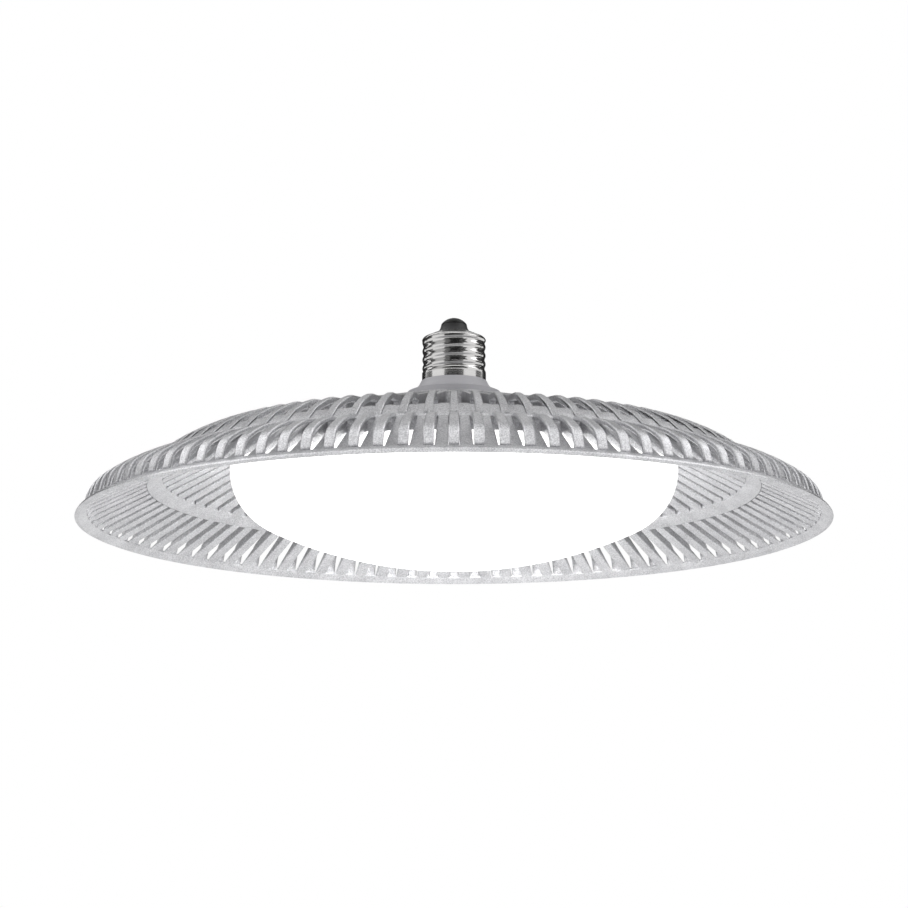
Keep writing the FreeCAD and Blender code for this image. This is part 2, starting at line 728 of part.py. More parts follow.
cylinder("driver_board", DRIVER_R, "dims.driver_board_thickness", "0", "0", DRIVER_Z)
cylinder("bulk_capacitor", "dims.bulk_radius", "dims.bulk_height", "dims.bulk_x", "dims.bulk_y", DRIVER_TOP)
cylinder("output_capacitor", "dims.output_radius", "dims.output_height",
         "dims.output_x", "dims.output_y", DRIVER_TOP)
cylinder("input_choke", "dims.choke_radius", "dims.choke_height", "dims.choke_x", "dims.choke_y", DRIVER_TOP)
block("transformer", "dims.transformer_length", "dims.transformer_width", "dims.transformer_height",
      "dims.transformer_x", "dims.transformer_y", DRIVER_TOP)
block("film_capacitor", "dims.film_length", "dims.film_width", "dims.film_height",
      "dims.film_x", "dims.film_y", DRIVER_TOP)
block("bridge_rectifier", "dims.bridge_length", "dims.bridge_width", "dims.bridge_height",
      "dims.bridge_x", "dims.bridge_y", DRIVER_TOP)
block("driver_chip", "dims.ic_length", "dims.ic_width", "dims.ic_height",
      "dims.ic_x", "dims.ic_y", DRIVER_TOP)
varistor = cylinder("varistor", "dims.varistor_radius", "dims.varistor_thickness",
                    "dims.varistor_x", "dims.varistor_y + dims.varistor_thickness / 2",
                    f"{DRIVER_TOP} + dims.varistor_radius")
varistor.Placement.Rotation = FreeCAD.Rotation(Vector(1, 0, 0), 90)
fuse = cylinder("fuse_resistor", "dims.fuse_radius", "dims.fuse_length",
                "-dims.fuse_length / 2", "dims.fuse_y", f"{DRIVER_TOP} + dims.fuse_radius")
fuse.Placement.Rotation = FreeCAD.Rotation(Vector(0, 1, 0), 90)

# Leads: up to the cap, and down to the LED board.
driver_top = number(DRIVER_TOP)
live_y = size("live_y")
lead("live_lead", [
    (0, live_y, driver_top),
    (0, live_y, number(SEAT_Z)),
    (0, 0, skirt_height),
    (0, 0, number(CONTACT_Z)),
])
wall_x = shell_bore - size("lead_radius")
neutral_x = size("neutral_x")
neutral_y = size("neutral_y")
lead("neutral_lead", [
    (neutral_x, neutral_y, driver_top),
    (neutral_x, neutral_y, 0),
    (wall_x, 0, size("neutral_bend_height")),
    (wall_x, 0, thread_top - pitch / 2),
])
plug_z = number(f"{BOARD_Z} - dims.connector_height / 2")
for label, side in (("positive_lead", 1), ("negative_lead", -1)):
    lead_x = side * size("lead_spacing") / 2
    lead(label, [
        (lead_x, 0, number(DRIVER_Z)),
        (lead_x, 0, plug_z),
        (lead_x, -size("connector_reach"), plug_z),
    ])

DOC.recompute()
for item in DOC.Objects:
    if "Invalid" in item.State or "Error" in item.State:
        raise RuntimeError(f"{item.Label} has not recomputed: {item.State}")
os.makedirs("parts", exist_ok=True)
for node in NODES:
    shape = node.Shape
    if shape.isNull() or not shape.isValid() or not shape.Solids:
        raise RuntimeError(f"{node.Label} has no sound shape")
    shape.exportStep(f"parts/{node.Label}.step")
    print(node.Label, len(shape.Solids), round(shape.Volume, 1))
print(len(NODES), "nodes")
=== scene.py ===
# %% [markdown]
# A flying-saucer LED bulb: a wide dish of cast aluminium straps hangs from a screw cap, around an opal dome
# that glows. The CAD model is the fixed frame. Each step below takes one piece or one finish, says what it
# is on the real bulb and how it could be made, and then makes it.

# %% Load the frame
import math

import bmesh
import bpy
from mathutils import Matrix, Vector


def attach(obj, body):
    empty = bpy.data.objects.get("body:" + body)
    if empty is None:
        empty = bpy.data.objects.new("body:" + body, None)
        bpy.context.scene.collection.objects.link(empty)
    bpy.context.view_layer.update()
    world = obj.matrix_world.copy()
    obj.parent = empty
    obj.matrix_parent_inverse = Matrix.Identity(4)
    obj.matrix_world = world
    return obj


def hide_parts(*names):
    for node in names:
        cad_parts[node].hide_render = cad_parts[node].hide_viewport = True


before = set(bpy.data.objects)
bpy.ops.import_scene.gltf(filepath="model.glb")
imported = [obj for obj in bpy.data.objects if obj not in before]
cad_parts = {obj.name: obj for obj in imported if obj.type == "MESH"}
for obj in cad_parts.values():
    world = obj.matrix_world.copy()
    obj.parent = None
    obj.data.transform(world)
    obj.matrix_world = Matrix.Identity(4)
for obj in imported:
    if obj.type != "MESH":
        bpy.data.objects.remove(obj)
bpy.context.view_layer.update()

MM = 0.001

# %% [markdown]
# Every section of this bulb is drawn as an outline of (radius, height) points in millimetres, because all
# the main pieces either turn about the cap's axis or repeat around it. An arc is a few points on a circle,
# so one helper lays an arc between two corners. A second helper rounds the corners of an outline, because
# no casting or moulding has a perfectly sharp corner, and the thin highlights on those rounds are what
# makes metal look real.

# %% Outlines in millimetres
CORNER_STEPS = 3
NEARLY_STRAIGHT = math.radians(160)
SIDE_SHARE = 0.45


def arc(start, end, radius, turn, steps):
    """Points after start up to end on the short arc that turns left or right."""
    a, b = Vector(start), Vector(end)
    chord = b - a
    side = Vector((-chord.y, chord.x)).normalized()
    rise = math.sqrt(radius ** 2 - chord.length ** 2 / 4)
    centre = (a + b) / 2 + side * (rise if turn == "left" else -rise)
    first = math.atan2(a.y - centre.y, a.x - centre.x)
    sweep = 2 * math.asin(chord.length / 2 / radius)
    if turn == "right":
        sweep = -sweep
    return [(centre.x + radius * math.cos(first + sweep * k / steps),
             centre.y + radius * math.sin(first + sweep * k / steps)) for k in range(1, steps + 1)]


def rounded(corners, radius):
    """A closed outline with each corner rounded as far as its sides allow."""
    result = []
    for index, corner in enumerate(corners):
        here = Vector(corner)
        before = Vector(corners[index - 1]) - here
        after = Vector(corners[(index + 1) % len(corners)]) - here
        opening = before.angle(after)
        if opening > NEARLY_STRAIGHT:
            result.append(corner)
            continue
        reach = min(radius / math.tan(opening / 2), before.length * SIDE_SHARE, after.length * SIDE_SHARE)
        start = here + before.normalized() * reach
        end = here + after.normalized() * reach
        for k in range(CORNER_STEPS + 1):
            share = k / CORNER_STEPS
            point = start * (1 - share) ** 2 + here * 2 * share * (1 - share) + end * share ** 2
            result.append((point.x, point.y))
    return result


print("arc of a quarter circle:", [tuple(round(v, 2) for v in p) for p in arc((1, 0), (0, 1), 1, "left", 2)])

# %% [markdown]
# Colours are written as sRGB hex values, the way a colour card gives them, and one function turns them to
# linear light for the shaders. A material is a small tree, so one short function adds a node, sets its
# options and feeds its inputs: a socket is linked, and a plain number is set on the input itself.

# %% Colours and shader nodes
def colour(code):
    """Linear RGBA from an sRGB hex value."""
    parts = [int(code[i:i + 2], 16) / 255 for i in (1, 3, 5)]
    return [p / 12.92 if p <= 0.04045 else ((p + 0.055) / 1.055) ** 2.4 for p in parts] + [1.0]


def feed(tree, node, inputs):
    """Links or sets the inputs of a node."""
    for socket, value in inputs.items():
        if isinstance(value, bpy.types.NodeSocket):
            tree.links.new(value, node.inputs[socket])
        else:
            node.inputs[socket].default_value = value


def add(tree, kind, inputs=None, **options):
    """Adds a node, sets its options and feeds its inputs."""
    node = tree.nodes.new(kind)
    for name, value in options.items():
        setattr(node, name, value)
    feed(tree, node, inputs or {})
    return node


def new_material(name):
    """A bare material with its tree, its Principled shader and its Object coordinates."""
    material = bpy.data.materials.new(name)
    material.use_nodes = True
    tree = material.node_tree
    shader = tree.nodes["Principled BSDF"]
    place = add(tree, "ShaderNodeTexCoord").outputs["Object"]
    return material, tree, shader, place


print("mid grey is", [round(v, 3) for v in colour("#808080")[:3]], "in linear light")

# %% [markdown]
# Most finishes on this bulb are built alike. A noise is the grain of the material. It picks a colour
# between a dark and a light tone, it varies the shine, and on rough surfaces it makes a low relief. Painted
# images could do this too, but they have seams and a fixed sharpness. Noise in Object coordinates has
# neither, and its size comes from real millimetres: a texture's scale counts repeats per metre.

# %% Grain, tones, shine and relief
def per_metre(millimetres):
    """The texture scale that gives a pattern its real size."""
    return 1 / (millimetres * MM)


def noise(tree, place, millimetres, detail):
    """A noise with grains of a real size."""
    inputs = {"Vector": place, "Scale": per_metre(millimetres), "Detail": detail}
    return add(tree, "ShaderNodeTexNoise", inputs).outputs["Fac"]


def two_tone(tree, factor, dark, light, low=0.0, high=1.0):
    """A colour that goes from dark to light as the factor goes from low to high."""
    ramp = add(tree, "ShaderNodeValToRGB", {"Fac": factor})
    ends = ramp.color_ramp.elements
    ends[0].position = low
    ends[0].color = colour(dark)
    ends[1].position = high
    ends[1].color = colour(light)
    return ramp.outputs["Color"]


def spread(tree, factor, low, high, start=0.0, end=1.0):
    """A value that goes from low to high as the factor goes from start to end."""
    inputs = {"Value": factor, "From Min": start, "From Max": end, "To Min": low, "To Max": high}
    return add(tree, "ShaderNodeMapRange", inputs).outputs["Result"]


def bump(tree, height, strength, millimetres):
    """A relief of a real height that only bends the light."""
    inputs = {"Height": height, "Strength": strength, "Distance": millimetres * MM}
    return add(tree, "ShaderNodeBump", inputs).outputs["Normal"]


print("a grain of 1 mm needs a scale of", per_metre(1))

# %% [markdown]
# The dish is die-cast aluminium with a satin clear coat. Casting leaves a fine grain and soft cloudy
# patches where the metal filled the mould, and the coat keeps the shine low. Grain alone would look like
# sandpaper and clouds alone like a stain, so the colour takes three quarters of the one and a quarter of
# the other. The real grain is finer than a pixel here, so it is drawn at 0.6 mm, as coarse as it needs to
# be to show.

# %% Die-cast aluminium
CAST_GRAIN = 0.6
CAST_CLOUD = 9.0
GRAIN_SHARE = 0.75
cast_aluminium, tree, shader, place = new_material("die_cast_aluminium")
grain = noise(tree, place, CAST_GRAIN, 3.0)
cloud = noise(tree, place, CAST_CLOUD, 2.0)
speckle = add(tree, "ShaderNodeMath", {0: cloud, 1: 1 - GRAIN_SHARE}, operation="MULTIPLY")
speckle = add(tree, "ShaderNodeMath", {0: grain, 1: GRAIN_SHARE, 2: speckle.outputs[0]},
              operation="MULTIPLY_ADD")
feed(tree, shader, {
    "Base Color": two_tone(tree, speckle.outputs[0], "#b0b0b3", "#e4e4e6", 0.36, 0.64),
    "Roughness": spread(tree, grain, 0.24, 0.44),
    "Normal": bump(tree, grain, 0.55, 0.4),
    "Metallic": 0.85,
})
print("made", cast_aluminium.name)

# %% [markdown]
# The ribs and bars repeat evenly around the axis, so a Geometry Nodes tree lays them out: it makes one
# point for each place, turns a copy of the incoming blank by its share of a full circle, realises the
# copies and gives them their material. A loop in Python would do the same, but the tree keeps the count and
# the first angle as named inputs, so the same tree serves every row on the bulb.

# %% A tree that repeats a blank around the axis
row_tree = bpy.data.node_groups.new("row_around_axis", "GeometryNodeTree")
row_tree.is_modifier = True
row_sockets = {}
for title, kind in (("Blank", "NodeSocketGeometry"), ("Count", "NodeSocketInt"),
                    ("First Angle", "NodeSocketFloat"), ("Finish", "NodeSocketMaterial")):
    row_sockets[title] = row_tree.interface.new_socket(title, in_out="INPUT", socket_type=kind).identifier
row_tree.interface.new_socket("Row", in_out="OUTPUT", socket_type="NodeSocketGeometry")
given = add(row_tree, "NodeGroupInput").outputs
points = add(row_tree, "GeometryNodePoints", {"Count": given["Count"]})
index = add(row_tree, "GeometryNodeInputIndex")
step = add(row_tree, "ShaderNodeMath", {0: 2 * math.pi, 1: given["Count"]}, operation="DIVIDE")
turn = add(row_tree, "ShaderNodeMath",
           {0: index.outputs["Index"], 1: step.outputs[0], 2: given["First Angle"]},
           operation="MULTIPLY_ADD")
spin = add(row_tree, "ShaderNodeCombineXYZ", {"Z": turn.outputs[0]})
turned = add(row_tree, "FunctionNodeEulerToRotation", {0: spin.outputs[0]})
copies = add(row_tree, "GeometryNodeInstanceOnPoints",
             {"Points": points.outputs[0], "Instance": given["Blank"], "Rotation": turned.outputs[0]})
real = add(row_tree, "GeometryNodeRealizeInstances", {0: copies.outputs[0]})
finished = add(row_tree, "GeometryNodeSetMaterial",
               {"Geometry": real.outputs[0], "Material": given["Finish"]})
add(row_tree, "NodeGroupOutput", {"Row": finished.outputs[0]})
print("tree inputs:", list(row_sockets))

# %% [markdown]
# A row of straps on the bulb is one casting, so a row is one piece here. The blank could keep the tree as a
# live modifier, but a finished part should hold plain faces, so the helper sets the tree's inputs, lets
# Blender work the row out once, and keeps the result as the piece's mesh.

# %% Lay out a row
def new_piece(name, data):
    """An object at the origin, linked to the scene."""
    piece = bpy.data.objects.new(name, data)
    bpy.context.scene.collection.objects.link(piece)
    return piece


def row_around(name, blank, count, first_angle, finish):
    """A piece made of a blank repeated around the axis."""
    piece = new_piece(name, blank)
    layout = piece.modifiers.new("row", "NODES")
    layout.node_group = row_tree
    layout[row_sockets["Count"]] = count
    layout[row_sockets["First Angle"]] = first_angle
    layout[row_sockets["Finish"]] = finish
    view = bpy.context.evaluated_depsgraph_get()
    made = bpy.data.meshes.new_from_object(piece.evaluated_get(view))
    piece.modifiers.clear()
    piece.data = made
    made.name = name
    print(name, "has", count, "copies and", len(made.polygons), "faces")
    return piece


print("rows use the tree", row_tree.name)

# %% [markdown]
# A solid starts as a loose form of points and faces. On real metal a round reads as smooth and a corner as
# a line, so one helper turns all faces outwards, smooths them, keeps a hard line where two faces meet at a
# sharp angle, and makes the mesh. A modifier could find the sharp edges too, but marked edges stay with the
# mesh.

# %% From a loose form to a mesh
SHARP_DEGREES = 28


def around(radius, angle, height):
    """The place in metres of a point at a radius and a height in millimetres, turned about the axis."""
    return radius * math.cos(angle) * MM, radius * math.sin(angle) * MM, height * MM


def mesh_from(name, form, sharp_degrees=SHARP_DEGREES):
    """Smooth faces that look outwards, with a hard line wherever two meet at more than the given angle."""
    bmesh.ops.recalc_face_normals(form, faces=form.faces)
    form.normal_update()
    for face in form.faces:
        face.smooth = True
    for edge in form.edges:
        edge.smooth = len(edge.link_faces) == 2 and edge.calc_face_angle() < math.radians(sharp_degrees)
    mesh = bpy.data.meshes.new(name)
    form.to_mesh(mesh)
    form.free()
    return mesh


print("edges are sharp from", SHARP_DEGREES, "degrees")

# %% [markdown]
# A rib is a strap of metal with straight sides that follow the radius, so it is a little narrower toward
# the axis. The blank is cut from an outline: the same points on two planes that open like a book around the
# axis, joined by a wall. The long edges of both sides get a small bevel. On the real casting that bevel is
# the mould's draft and the tumbling afterwards, and it catches the bright lines along every rib.

# %% Cut a wedge-sided blank from an outline
EDGE_BEVEL = 0.45


def wedge(name, outline, degrees, bevel=EDGE_BEVEL):
    """A solid between two planes through the axis, cut to an outline of (radius, height) in millimetres."""
    half = math.radians(degrees) / 2
    form = bmesh.new()
    sides = [[form.verts.new(around(r, side, z)) for r, z in outline] for side in (-half, half)]
    form.faces.new(sides[0])
    form.faces.new(list(reversed(sides[1])))
    for k in range(len(outline)):
        after = (k + 1) % len(outline)
        form.faces.new([sides[0][after], sides[0][k], sides[1][k], sides[1][after]])
    bmesh.ops.recalc_face_normals(form, faces=form.faces)
    rims = [e for e in form.edges if (e.verts[0] in sides[0]) == (e.verts[1] in sides[0])]
    bmesh.ops.bevel(form, geom=rims, offset=bevel * MM, segments=1, affect="EDGES", clamp_overlap=True)
    return mesh_from(name, form)


print("bevel on the ribs:", EDGE_BEVEL, "mm")

# %% [markdown]
# The dish is a shallow cone seen from below. Radii run from the rim inwards: flange, outer slots, mid ring,
# inner slots, plate. All sections are drawn from these few numbers, the same ones the CAD model has, so
# every piece lands on its solid with no fitting.

# %% The dish's main sizes
RIM_RADIUS = 155.0
RIM_Z = -60.0
PLATE_RADIUS = 95.0
PLATE_UNDER = -31.2
FLANGE_WIDTH = 5.0
FLANGE_HEIGHT = 3.2
MID_WIDTH = 6.5
INNER_SHARE = 0.505
SEAT_Z = -7.4
SLOT_OUT = RIM_RADIUS - FLANGE_WIDTH
FLANGE_TOP = RIM_Z + FLANGE_HEIGHT
MID_IN = PLATE_RADIUS + (SLOT_OUT - PLATE_RADIUS - MID_WIDTH) * INNER_SHARE
MID_OUT = MID_IN + MID_WIDTH
SLOPE = (PLATE_UNDER - RIM_Z) / (RIM_RADIUS - PLATE_RADIUS)


def under(radius):
    """Height of the dish's underside."""
    return RIM_Z + SLOPE * (RIM_RADIUS - radius)


print("underside at the plate:", round(under(PLATE_RADIUS), 2), "mm")

# %% [markdown]
# The outer ribs are straps that arch over the outer slots. From the side each one is a hook: a short,
# nearly upright leg stands on the flange, bends over a shoulder, and runs in a long flat crown to the mid
# ring. The line could be traced, but a handful of corners says what the hook does, so first come the
# corners of its outer line.

# %% The outer rib's line
HEEL_OUT = 0.6
FOOT_OUT = 1.5
FOOT_RISE = 1.0
LEG_LEAN = 0.9
LEG_HEIGHT = 7.7
SHOULDER_REACH = 4.5
SHOULDER_RISE = 5.4
CROWN_HEIGHT = 7.0
heel = (SLOT_OUT + HEEL_OUT, FLANGE_TOP)
foot = (SLOT_OUT + FOOT_OUT, FLANGE_TOP + FOOT_RISE)
leg = (foot[0] - LEG_LEAN, RIM_Z + LEG_HEIGHT)
crown = (leg[0] - SHOULDER_REACH, leg[1] + SHOULDER_RISE)
crown_end = (MID_OUT, under(MID_OUT) + CROWN_HEIGHT)
print("the hook stands", round(crown_end[1] - FLANGE_TOP, 1), "mm above the flange")

# %% [markdown]
# Underneath, the hook is hollow, and that is why the lit dome shows through between the ribs. The inner
# line runs a strap's depth inside the outer one, with the same arcs made smaller, so the strap keeps its
# depth round the shoulder.

# %% Outer ribs
OUTER_COUNT = 100
RIB_DEGREES = 1.55
RIB_DEPTH = 1.8
LEG_TILT = math.radians(18)
CROWN_TILT = math.radians(32)
FOOT_RADIUS = 1.1
SHOULDER_RADIUS = 10.0
CROWN_RADIUS = 50.0
low_leg = (leg[0] - RIB_DEPTH * math.cos(LEG_TILT), leg[1] - RIB_DEPTH * math.sin(LEG_TILT))
low_crown = (crown[0] - RIB_DEPTH * math.sin(CROWN_TILT), crown[1] - RIB_DEPTH * math.cos(CROWN_TILT))
low_end = (MID_OUT, crown_end[1] - RIB_DEPTH)
strap = [heel] + arc(heel, foot, FOOT_RADIUS, "left", 3)
strap += [leg] + arc(leg, crown, SHOULDER_RADIUS, "left", 4)
strap += arc(crown, crown_end, CROWN_RADIUS, "left", 5)
strap += [low_end] + arc(low_end, low_crown, CROWN_RADIUS - RIB_DEPTH, "right", 4)
strap += arc(low_crown, low_leg, SHOULDER_RADIUS - RIB_DEPTH, "right", 3)
strap += [(SLOT_OUT, FLANGE_TOP)]
outer_ribs = row_around("outer_straps", wedge("outer_strap", strap, RIB_DEGREES), OUTER_COUNT, 0.0,
                        cast_aluminium)

# %% [markdown]
# Between the slots lie the bars, half a pitch away from the ribs, and they fill nearly the whole gap
# between them. They carry the rim. A bar is a plain tapered blade, thick at the mid ring and thin at the
# flange, so four corners are enough.

# %% Outer bars
BAR_DEGREES = 1.95
MID_SIDE_HEIGHT = 5.9
MID_SIDE = under(MID_OUT) + MID_SIDE_HEIGHT
outer_bar = [
    (MID_OUT, under(MID_OUT)),
    (SLOT_OUT, under(SLOT_OUT)),
    (SLOT_OUT, FLANGE_TOP),
    (MID_OUT, MID_SIDE),
]
outer_bars = row_around("outer_blades", wedge("outer_blade", outer_bar, BAR_DEGREES), OUTER_COUNT,
                        math.pi / OUTER_COUNT, cast_aluminium)

# %% [markdown]
# The inner row has fewer and longer ribs. Each begins in a toe on the mid ring, climbs over a soft shoulder
# and runs on over the plate to the hub. Only the part outside the plate is a strap over a slot, as in the
# outer row, so that part is cut here by itself.

# %% Inner ribs
INNER_COUNT = 80
FIN_DEGREES = 1.55
FIN_DEPTH = 2.6
NOSE = 0.9
TOE_IN = 0.6
TOE_HEIGHT = 6.7
MID_TOP_HEIGHT = 8.6
KNEE_OUT = 10.0
KNEE_RADIUS = PLATE_RADIUS + KNEE_OUT
KNEE_HEIGHT = 9.55
BACK_RADIUS = 60.0
ROOT_HEIGHT = 5.8
MID_TOP = under(MID_IN) + MID_TOP_HEIGHT
toe = (MID_OUT - TOE_IN, under(MID_OUT) + TOE_HEIGHT)
climb = (MID_IN, MID_TOP + NOSE)
knee = (KNEE_RADIUS, under(KNEE_RADIUS) + KNEE_HEIGHT)
root = (PLATE_RADIUS, PLATE_UNDER + ROOT_HEIGHT)
low_knee = (knee[0], knee[1] - FIN_DEPTH)
low_climb = (MID_IN, climb[1] - FIN_DEPTH)
strap = [toe, (toe[0], toe[1] + NOSE), climb]
strap += arc(climb, knee, BACK_RADIUS, "left", 4)
strap += [root, (root[0], root[1] - FIN_DEPTH), low_knee]
strap += arc(low_knee, low_climb, BACK_RADIUS - FIN_DEPTH, "right", 4)
strap += [(MID_IN, MID_TOP)]
inner_ribs = row_around("inner_straps", wedge("inner_strap", strap, FIN_DEGREES), INNER_COUNT, 0.0,
                        cast_aluminium)

# %% [markdown]
# The inner bars lie between the inner slots and join the plate to the mid ring. They are thin sheets of one
# height that follow the dish's slope, and again four corners make the blank.

# %% Inner bars
INNER_BAR_DEGREES = 2.85
BAR_HEIGHT = 2.2
PLATE_TOP = PLATE_UNDER + BAR_HEIGHT
inner_bar = [
    (PLATE_RADIUS, PLATE_UNDER),
    (MID_IN, under(MID_IN)),
    (MID_IN, under(MID_IN) + BAR_HEIGHT),
    (PLATE_RADIUS, PLATE_TOP),
]
inner_bars = row_around("inner_blades", wedge("inner_blade", inner_bar, INNER_BAR_DEGREES), INNER_COUNT,
                        math.pi / INNER_COUNT, cast_aluminium)

# %% [markdown]
# Over the plate each inner rib goes on as an upright cooling fin, up to the hub. Hub, plate and fins are
# one casting on the real bulb. Joining them in one mesh would need a boolean cut for every fin, so the fins
# are a row of their own, sunk a little into the hub and the plate, and no gap can show.

# %% Cooling fins over the plate
HUB_TOP_RADIUS = 21.0
CHANNEL_RADIUS = 46.0
FIN_BEVEL = 0.2
SUNK = 0.4
share = (PLATE_RADIUS - CHANNEL_RADIUS) / (PLATE_RADIUS - HUB_TOP_RADIUS)
fin_start = (CHANNEL_RADIUS, root[1] + (SEAT_Z - root[1]) * share)
fin = [
    (CHANNEL_RADIUS - SUNK, PLATE_TOP - SUNK),
    (PLATE_RADIUS, PLATE_TOP - SUNK),
    root,
    fin_start,
    (CHANNEL_RADIUS - SUNK, fin_start[1]),
]
core_fins = row_around("cooling_fins", wedge("cooling_fin", fin, FIN_DEGREES, FIN_BEVEL), INNER_COUNT, 0.0,
                       cast_aluminium)

# %% [markdown]
# Rings, the hub, the collar and the dome are turned shapes. A Screw modifier could spin their sections, but
# a short loop that lays the section around the axis gives clean quads, closes the seam by itself, and lets
# a point on the axis stay a single pole.

# %% Turn a section about the axis
ON_AXIS = 1e-6


def full_circle(steps):
    """Even angles once around."""
    return [2 * math.pi * k / steps for k in range(steps)]


def ring_at(form, radius, height, steps):
    """A ring of points, or one point in its stead on the axis."""
    if radius < ON_AXIS:
        return [form.verts.new((0, 0, height * MM))] * steps
    return [form.verts.new(around(radius, angle, height)) for angle in full_circle(steps)]


def join_rings(form, rings):
    """Faces from each ring to the next, and from the last ring to the first."""
    for k, ring in enumerate(rings):
        following = rings[(k + 1) % len(rings)]
        if ring[0] is ring[1] and following[0] is following[1]:
            continue
        for s in range(len(ring)):
            t = (s + 1) % len(ring)
            form.faces.new(list(dict.fromkeys([ring[s], ring[t], following[t], following[s]])))


def lathe(name, outline, finish, steps):
    """A closed solid turned from an outline of (radius, height) in millimetres."""
    form = bmesh.new()
    join_rings(form, [ring_at(form, r, z, steps) for r, z in outline])
    mesh = mesh_from(name, form)
    mesh.materials.append(finish)
    print(name, "has", len(mesh.polygons), "faces")
    return new_piece(name, mesh)


print("a ring of four steps turns by", [round(math.degrees(a)) for a in full_circle(4)], "degrees")

# %% [markdown]
# The rim flange and the mid ring tie the ribs and bars together. The flange is thin, and its outer edge
# turns down to a bevelled lip. The mid ring is a plain band that slopes with the dish. A bevel modifier
# could break their edges, but rounding the section before it is turned gives every edge the same clean
# round.

# %% Rim flange and mid ring
RING_STEPS = 300
LIP_WIDTH = 1.8
LIP_RISE = 0.7
EDGE_IN = 0.6
EDGE_RISE = 1.6
LAND_WIDTH = 1.8
FLANGE_ROUND = 0.25
BAND_ROUND = 0.5
flange = [
    (SLOT_OUT, under(SLOT_OUT)),
    (RIM_RADIUS - LIP_WIDTH, RIM_Z),
    (RIM_RADIUS, RIM_Z + LIP_RISE),
    (RIM_RADIUS - EDGE_IN, RIM_Z + EDGE_RISE),
    (SLOT_OUT + LAND_WIDTH, FLANGE_TOP),
    (SLOT_OUT, FLANGE_TOP),
]
rim_flange = lathe("rim_band", rounded(flange, FLANGE_ROUND), cast_aluminium, RING_STEPS)
band = [
    (MID_IN, under(MID_IN)),
    (MID_OUT, under(MID_OUT)),
    (MID_OUT, MID_SIDE),
    toe,
    (MID_IN, MID_TOP),
]
mid_ring = lathe("middle_band", rounded(band, BAND_ROUND), cast_aluminium, RING_STEPS)

# %% [markdown]
# The hub and plate are the middle of the casting. The plate spreads the LEDs' heat to the fins, and the hub
# holds the driver in a round cavity. Only the outside shows, and a closed cone would do for a picture, but
# the section keeps the cavity, so the mesh is the real casting.

# %% Hub and plate
HUB_STEPS = 240
HUB_ROUND = 0.6
SEAT_HOLE = 10.5
SEAT_WALL = 3.0
CAVITY_RADIUS = 22.0
PLATE_WALL = 3.5
PLATE_Z = PLATE_TOP - PLATE_WALL
hub = [
    (SEAT_HOLE, SEAT_Z),
    (HUB_TOP_RADIUS, SEAT_Z),
    fin_start,
    (CHANNEL_RADIUS, PLATE_TOP),
    (PLATE_RADIUS, PLATE_TOP),
    (PLATE_RADIUS, PLATE_Z),
    (CAVITY_RADIUS, PLATE_Z),
    (CAVITY_RADIUS, SEAT_Z - SEAT_WALL),
    (SEAT_HOLE, SEAT_Z - SEAT_WALL),
]
hub_plate = lathe("hub_and_plate", rounded(hub, HUB_ROUND), cast_aluminium, HUB_STEPS)

# %% [markdown]
# The dome is opal polycarbonate, full of tiny scattering beads, so from outside it is a soft, even, matt
# white that hides the LEDs. The light inside could be built from many small lamps, but the eye only ever
# sees the even skin, so the skin itself glows, a touch weaker toward the edge, where less light from the
# board reaches it. Its colour, which the glow shares, is painted a touch greyer toward the edge too, as
# painted shade there. What the dome throws on the dish comes later, with the lights.

# %% Opal polycarbonate
DOME_RADIUS = 92.0
DOME_GLOW = 1.2
EDGE_GLOW = 0.8
GLOW_FALLS_FROM = 70.0
GLOW_FALLS_TO = 91.0
EDGE_SHADE_FROM = 60.0
HAZE_GRAIN = 1.2
POLYCARBONATE_IOR = 1.58
opal, tree, shader, place = new_material("opal_polycarbonate")
flat = add(tree, "ShaderNodeVectorMath", {0: place, 1: (1.0, 1.0, 0.0)}, operation="MULTIPLY")
reach = add(tree, "ShaderNodeVectorMath", {0: flat.outputs[0]}, operation="LENGTH").outputs["Value"]
# Painted shade: from 60 mm out the skin's colour greys a touch toward the edge, and the glow takes the same
# colour.
middle = spread(tree, reach, 1.0, 0.0, EDGE_SHADE_FROM * MM, DOME_RADIUS * MM)
white = two_tone(tree, middle, "#f6f6f4", "#ffffff")
feed(tree, shader, {
    "Base Color": white,
    "Emission Color": white,
    "Emission Strength": spread(tree, reach, DOME_GLOW, EDGE_GLOW, GLOW_FALLS_FROM * MM, GLOW_FALLS_TO * MM),
    "Roughness": spread(tree, noise(tree, place, HAZE_GRAIN, 2.0), 0.42, 0.55),
    "IOR": POLYCARBONATE_IOR,
})
print("made", opal.name, "with a glow of", DOME_GLOW)

# %% [markdown]
# The dome's form is a flat oval bowl, two millimetres thick, with a round side that rises to a lip under
# the plate. A squashed sphere comes close, but its side is too pointed. Two arcs that meet without a kink,
# a wide one for the bowl and a small one for the side, give the moulded form, and the inner skin is the
# same line a wall's thickness further in.

# %% The dome
DOME_STEPS = 200
WALL = 2.0
SIDE_RADIUS = 24.0
DOME_DEPTH = 39.0
EQUATOR_Z = -38.0
PLATE_GAP = 0.6
LIP_REACH = 6.0
DOME_TOP = PLATE_Z - PLATE_GAP
side_x = DOME_RADIUS - SIDE_RADIUS
bowl = (side_x ** 2 + DOME_DEPTH ** 2 - SIDE_RADIUS ** 2) / (2 * (DOME_DEPTH - SIDE_RADIUS))


def dome_line(inset, steps):
    """The oval from the pole up to the equator, at a distance inside the skin."""
    part = (bowl - inset) / (bowl - SIDE_RADIUS)
    meet = (side_x * part, EQUATOR_Z + (bowl - DOME_DEPTH) * (1 - part))
    pole = (0.0, EQUATOR_Z - DOME_DEPTH + inset)
    line = [pole] + arc(pole, meet, bowl - inset, "left", steps)
    return line + arc(meet, (DOME_RADIUS - inset, EQUATOR_Z), SIDE_RADIUS - inset, "left", steps)


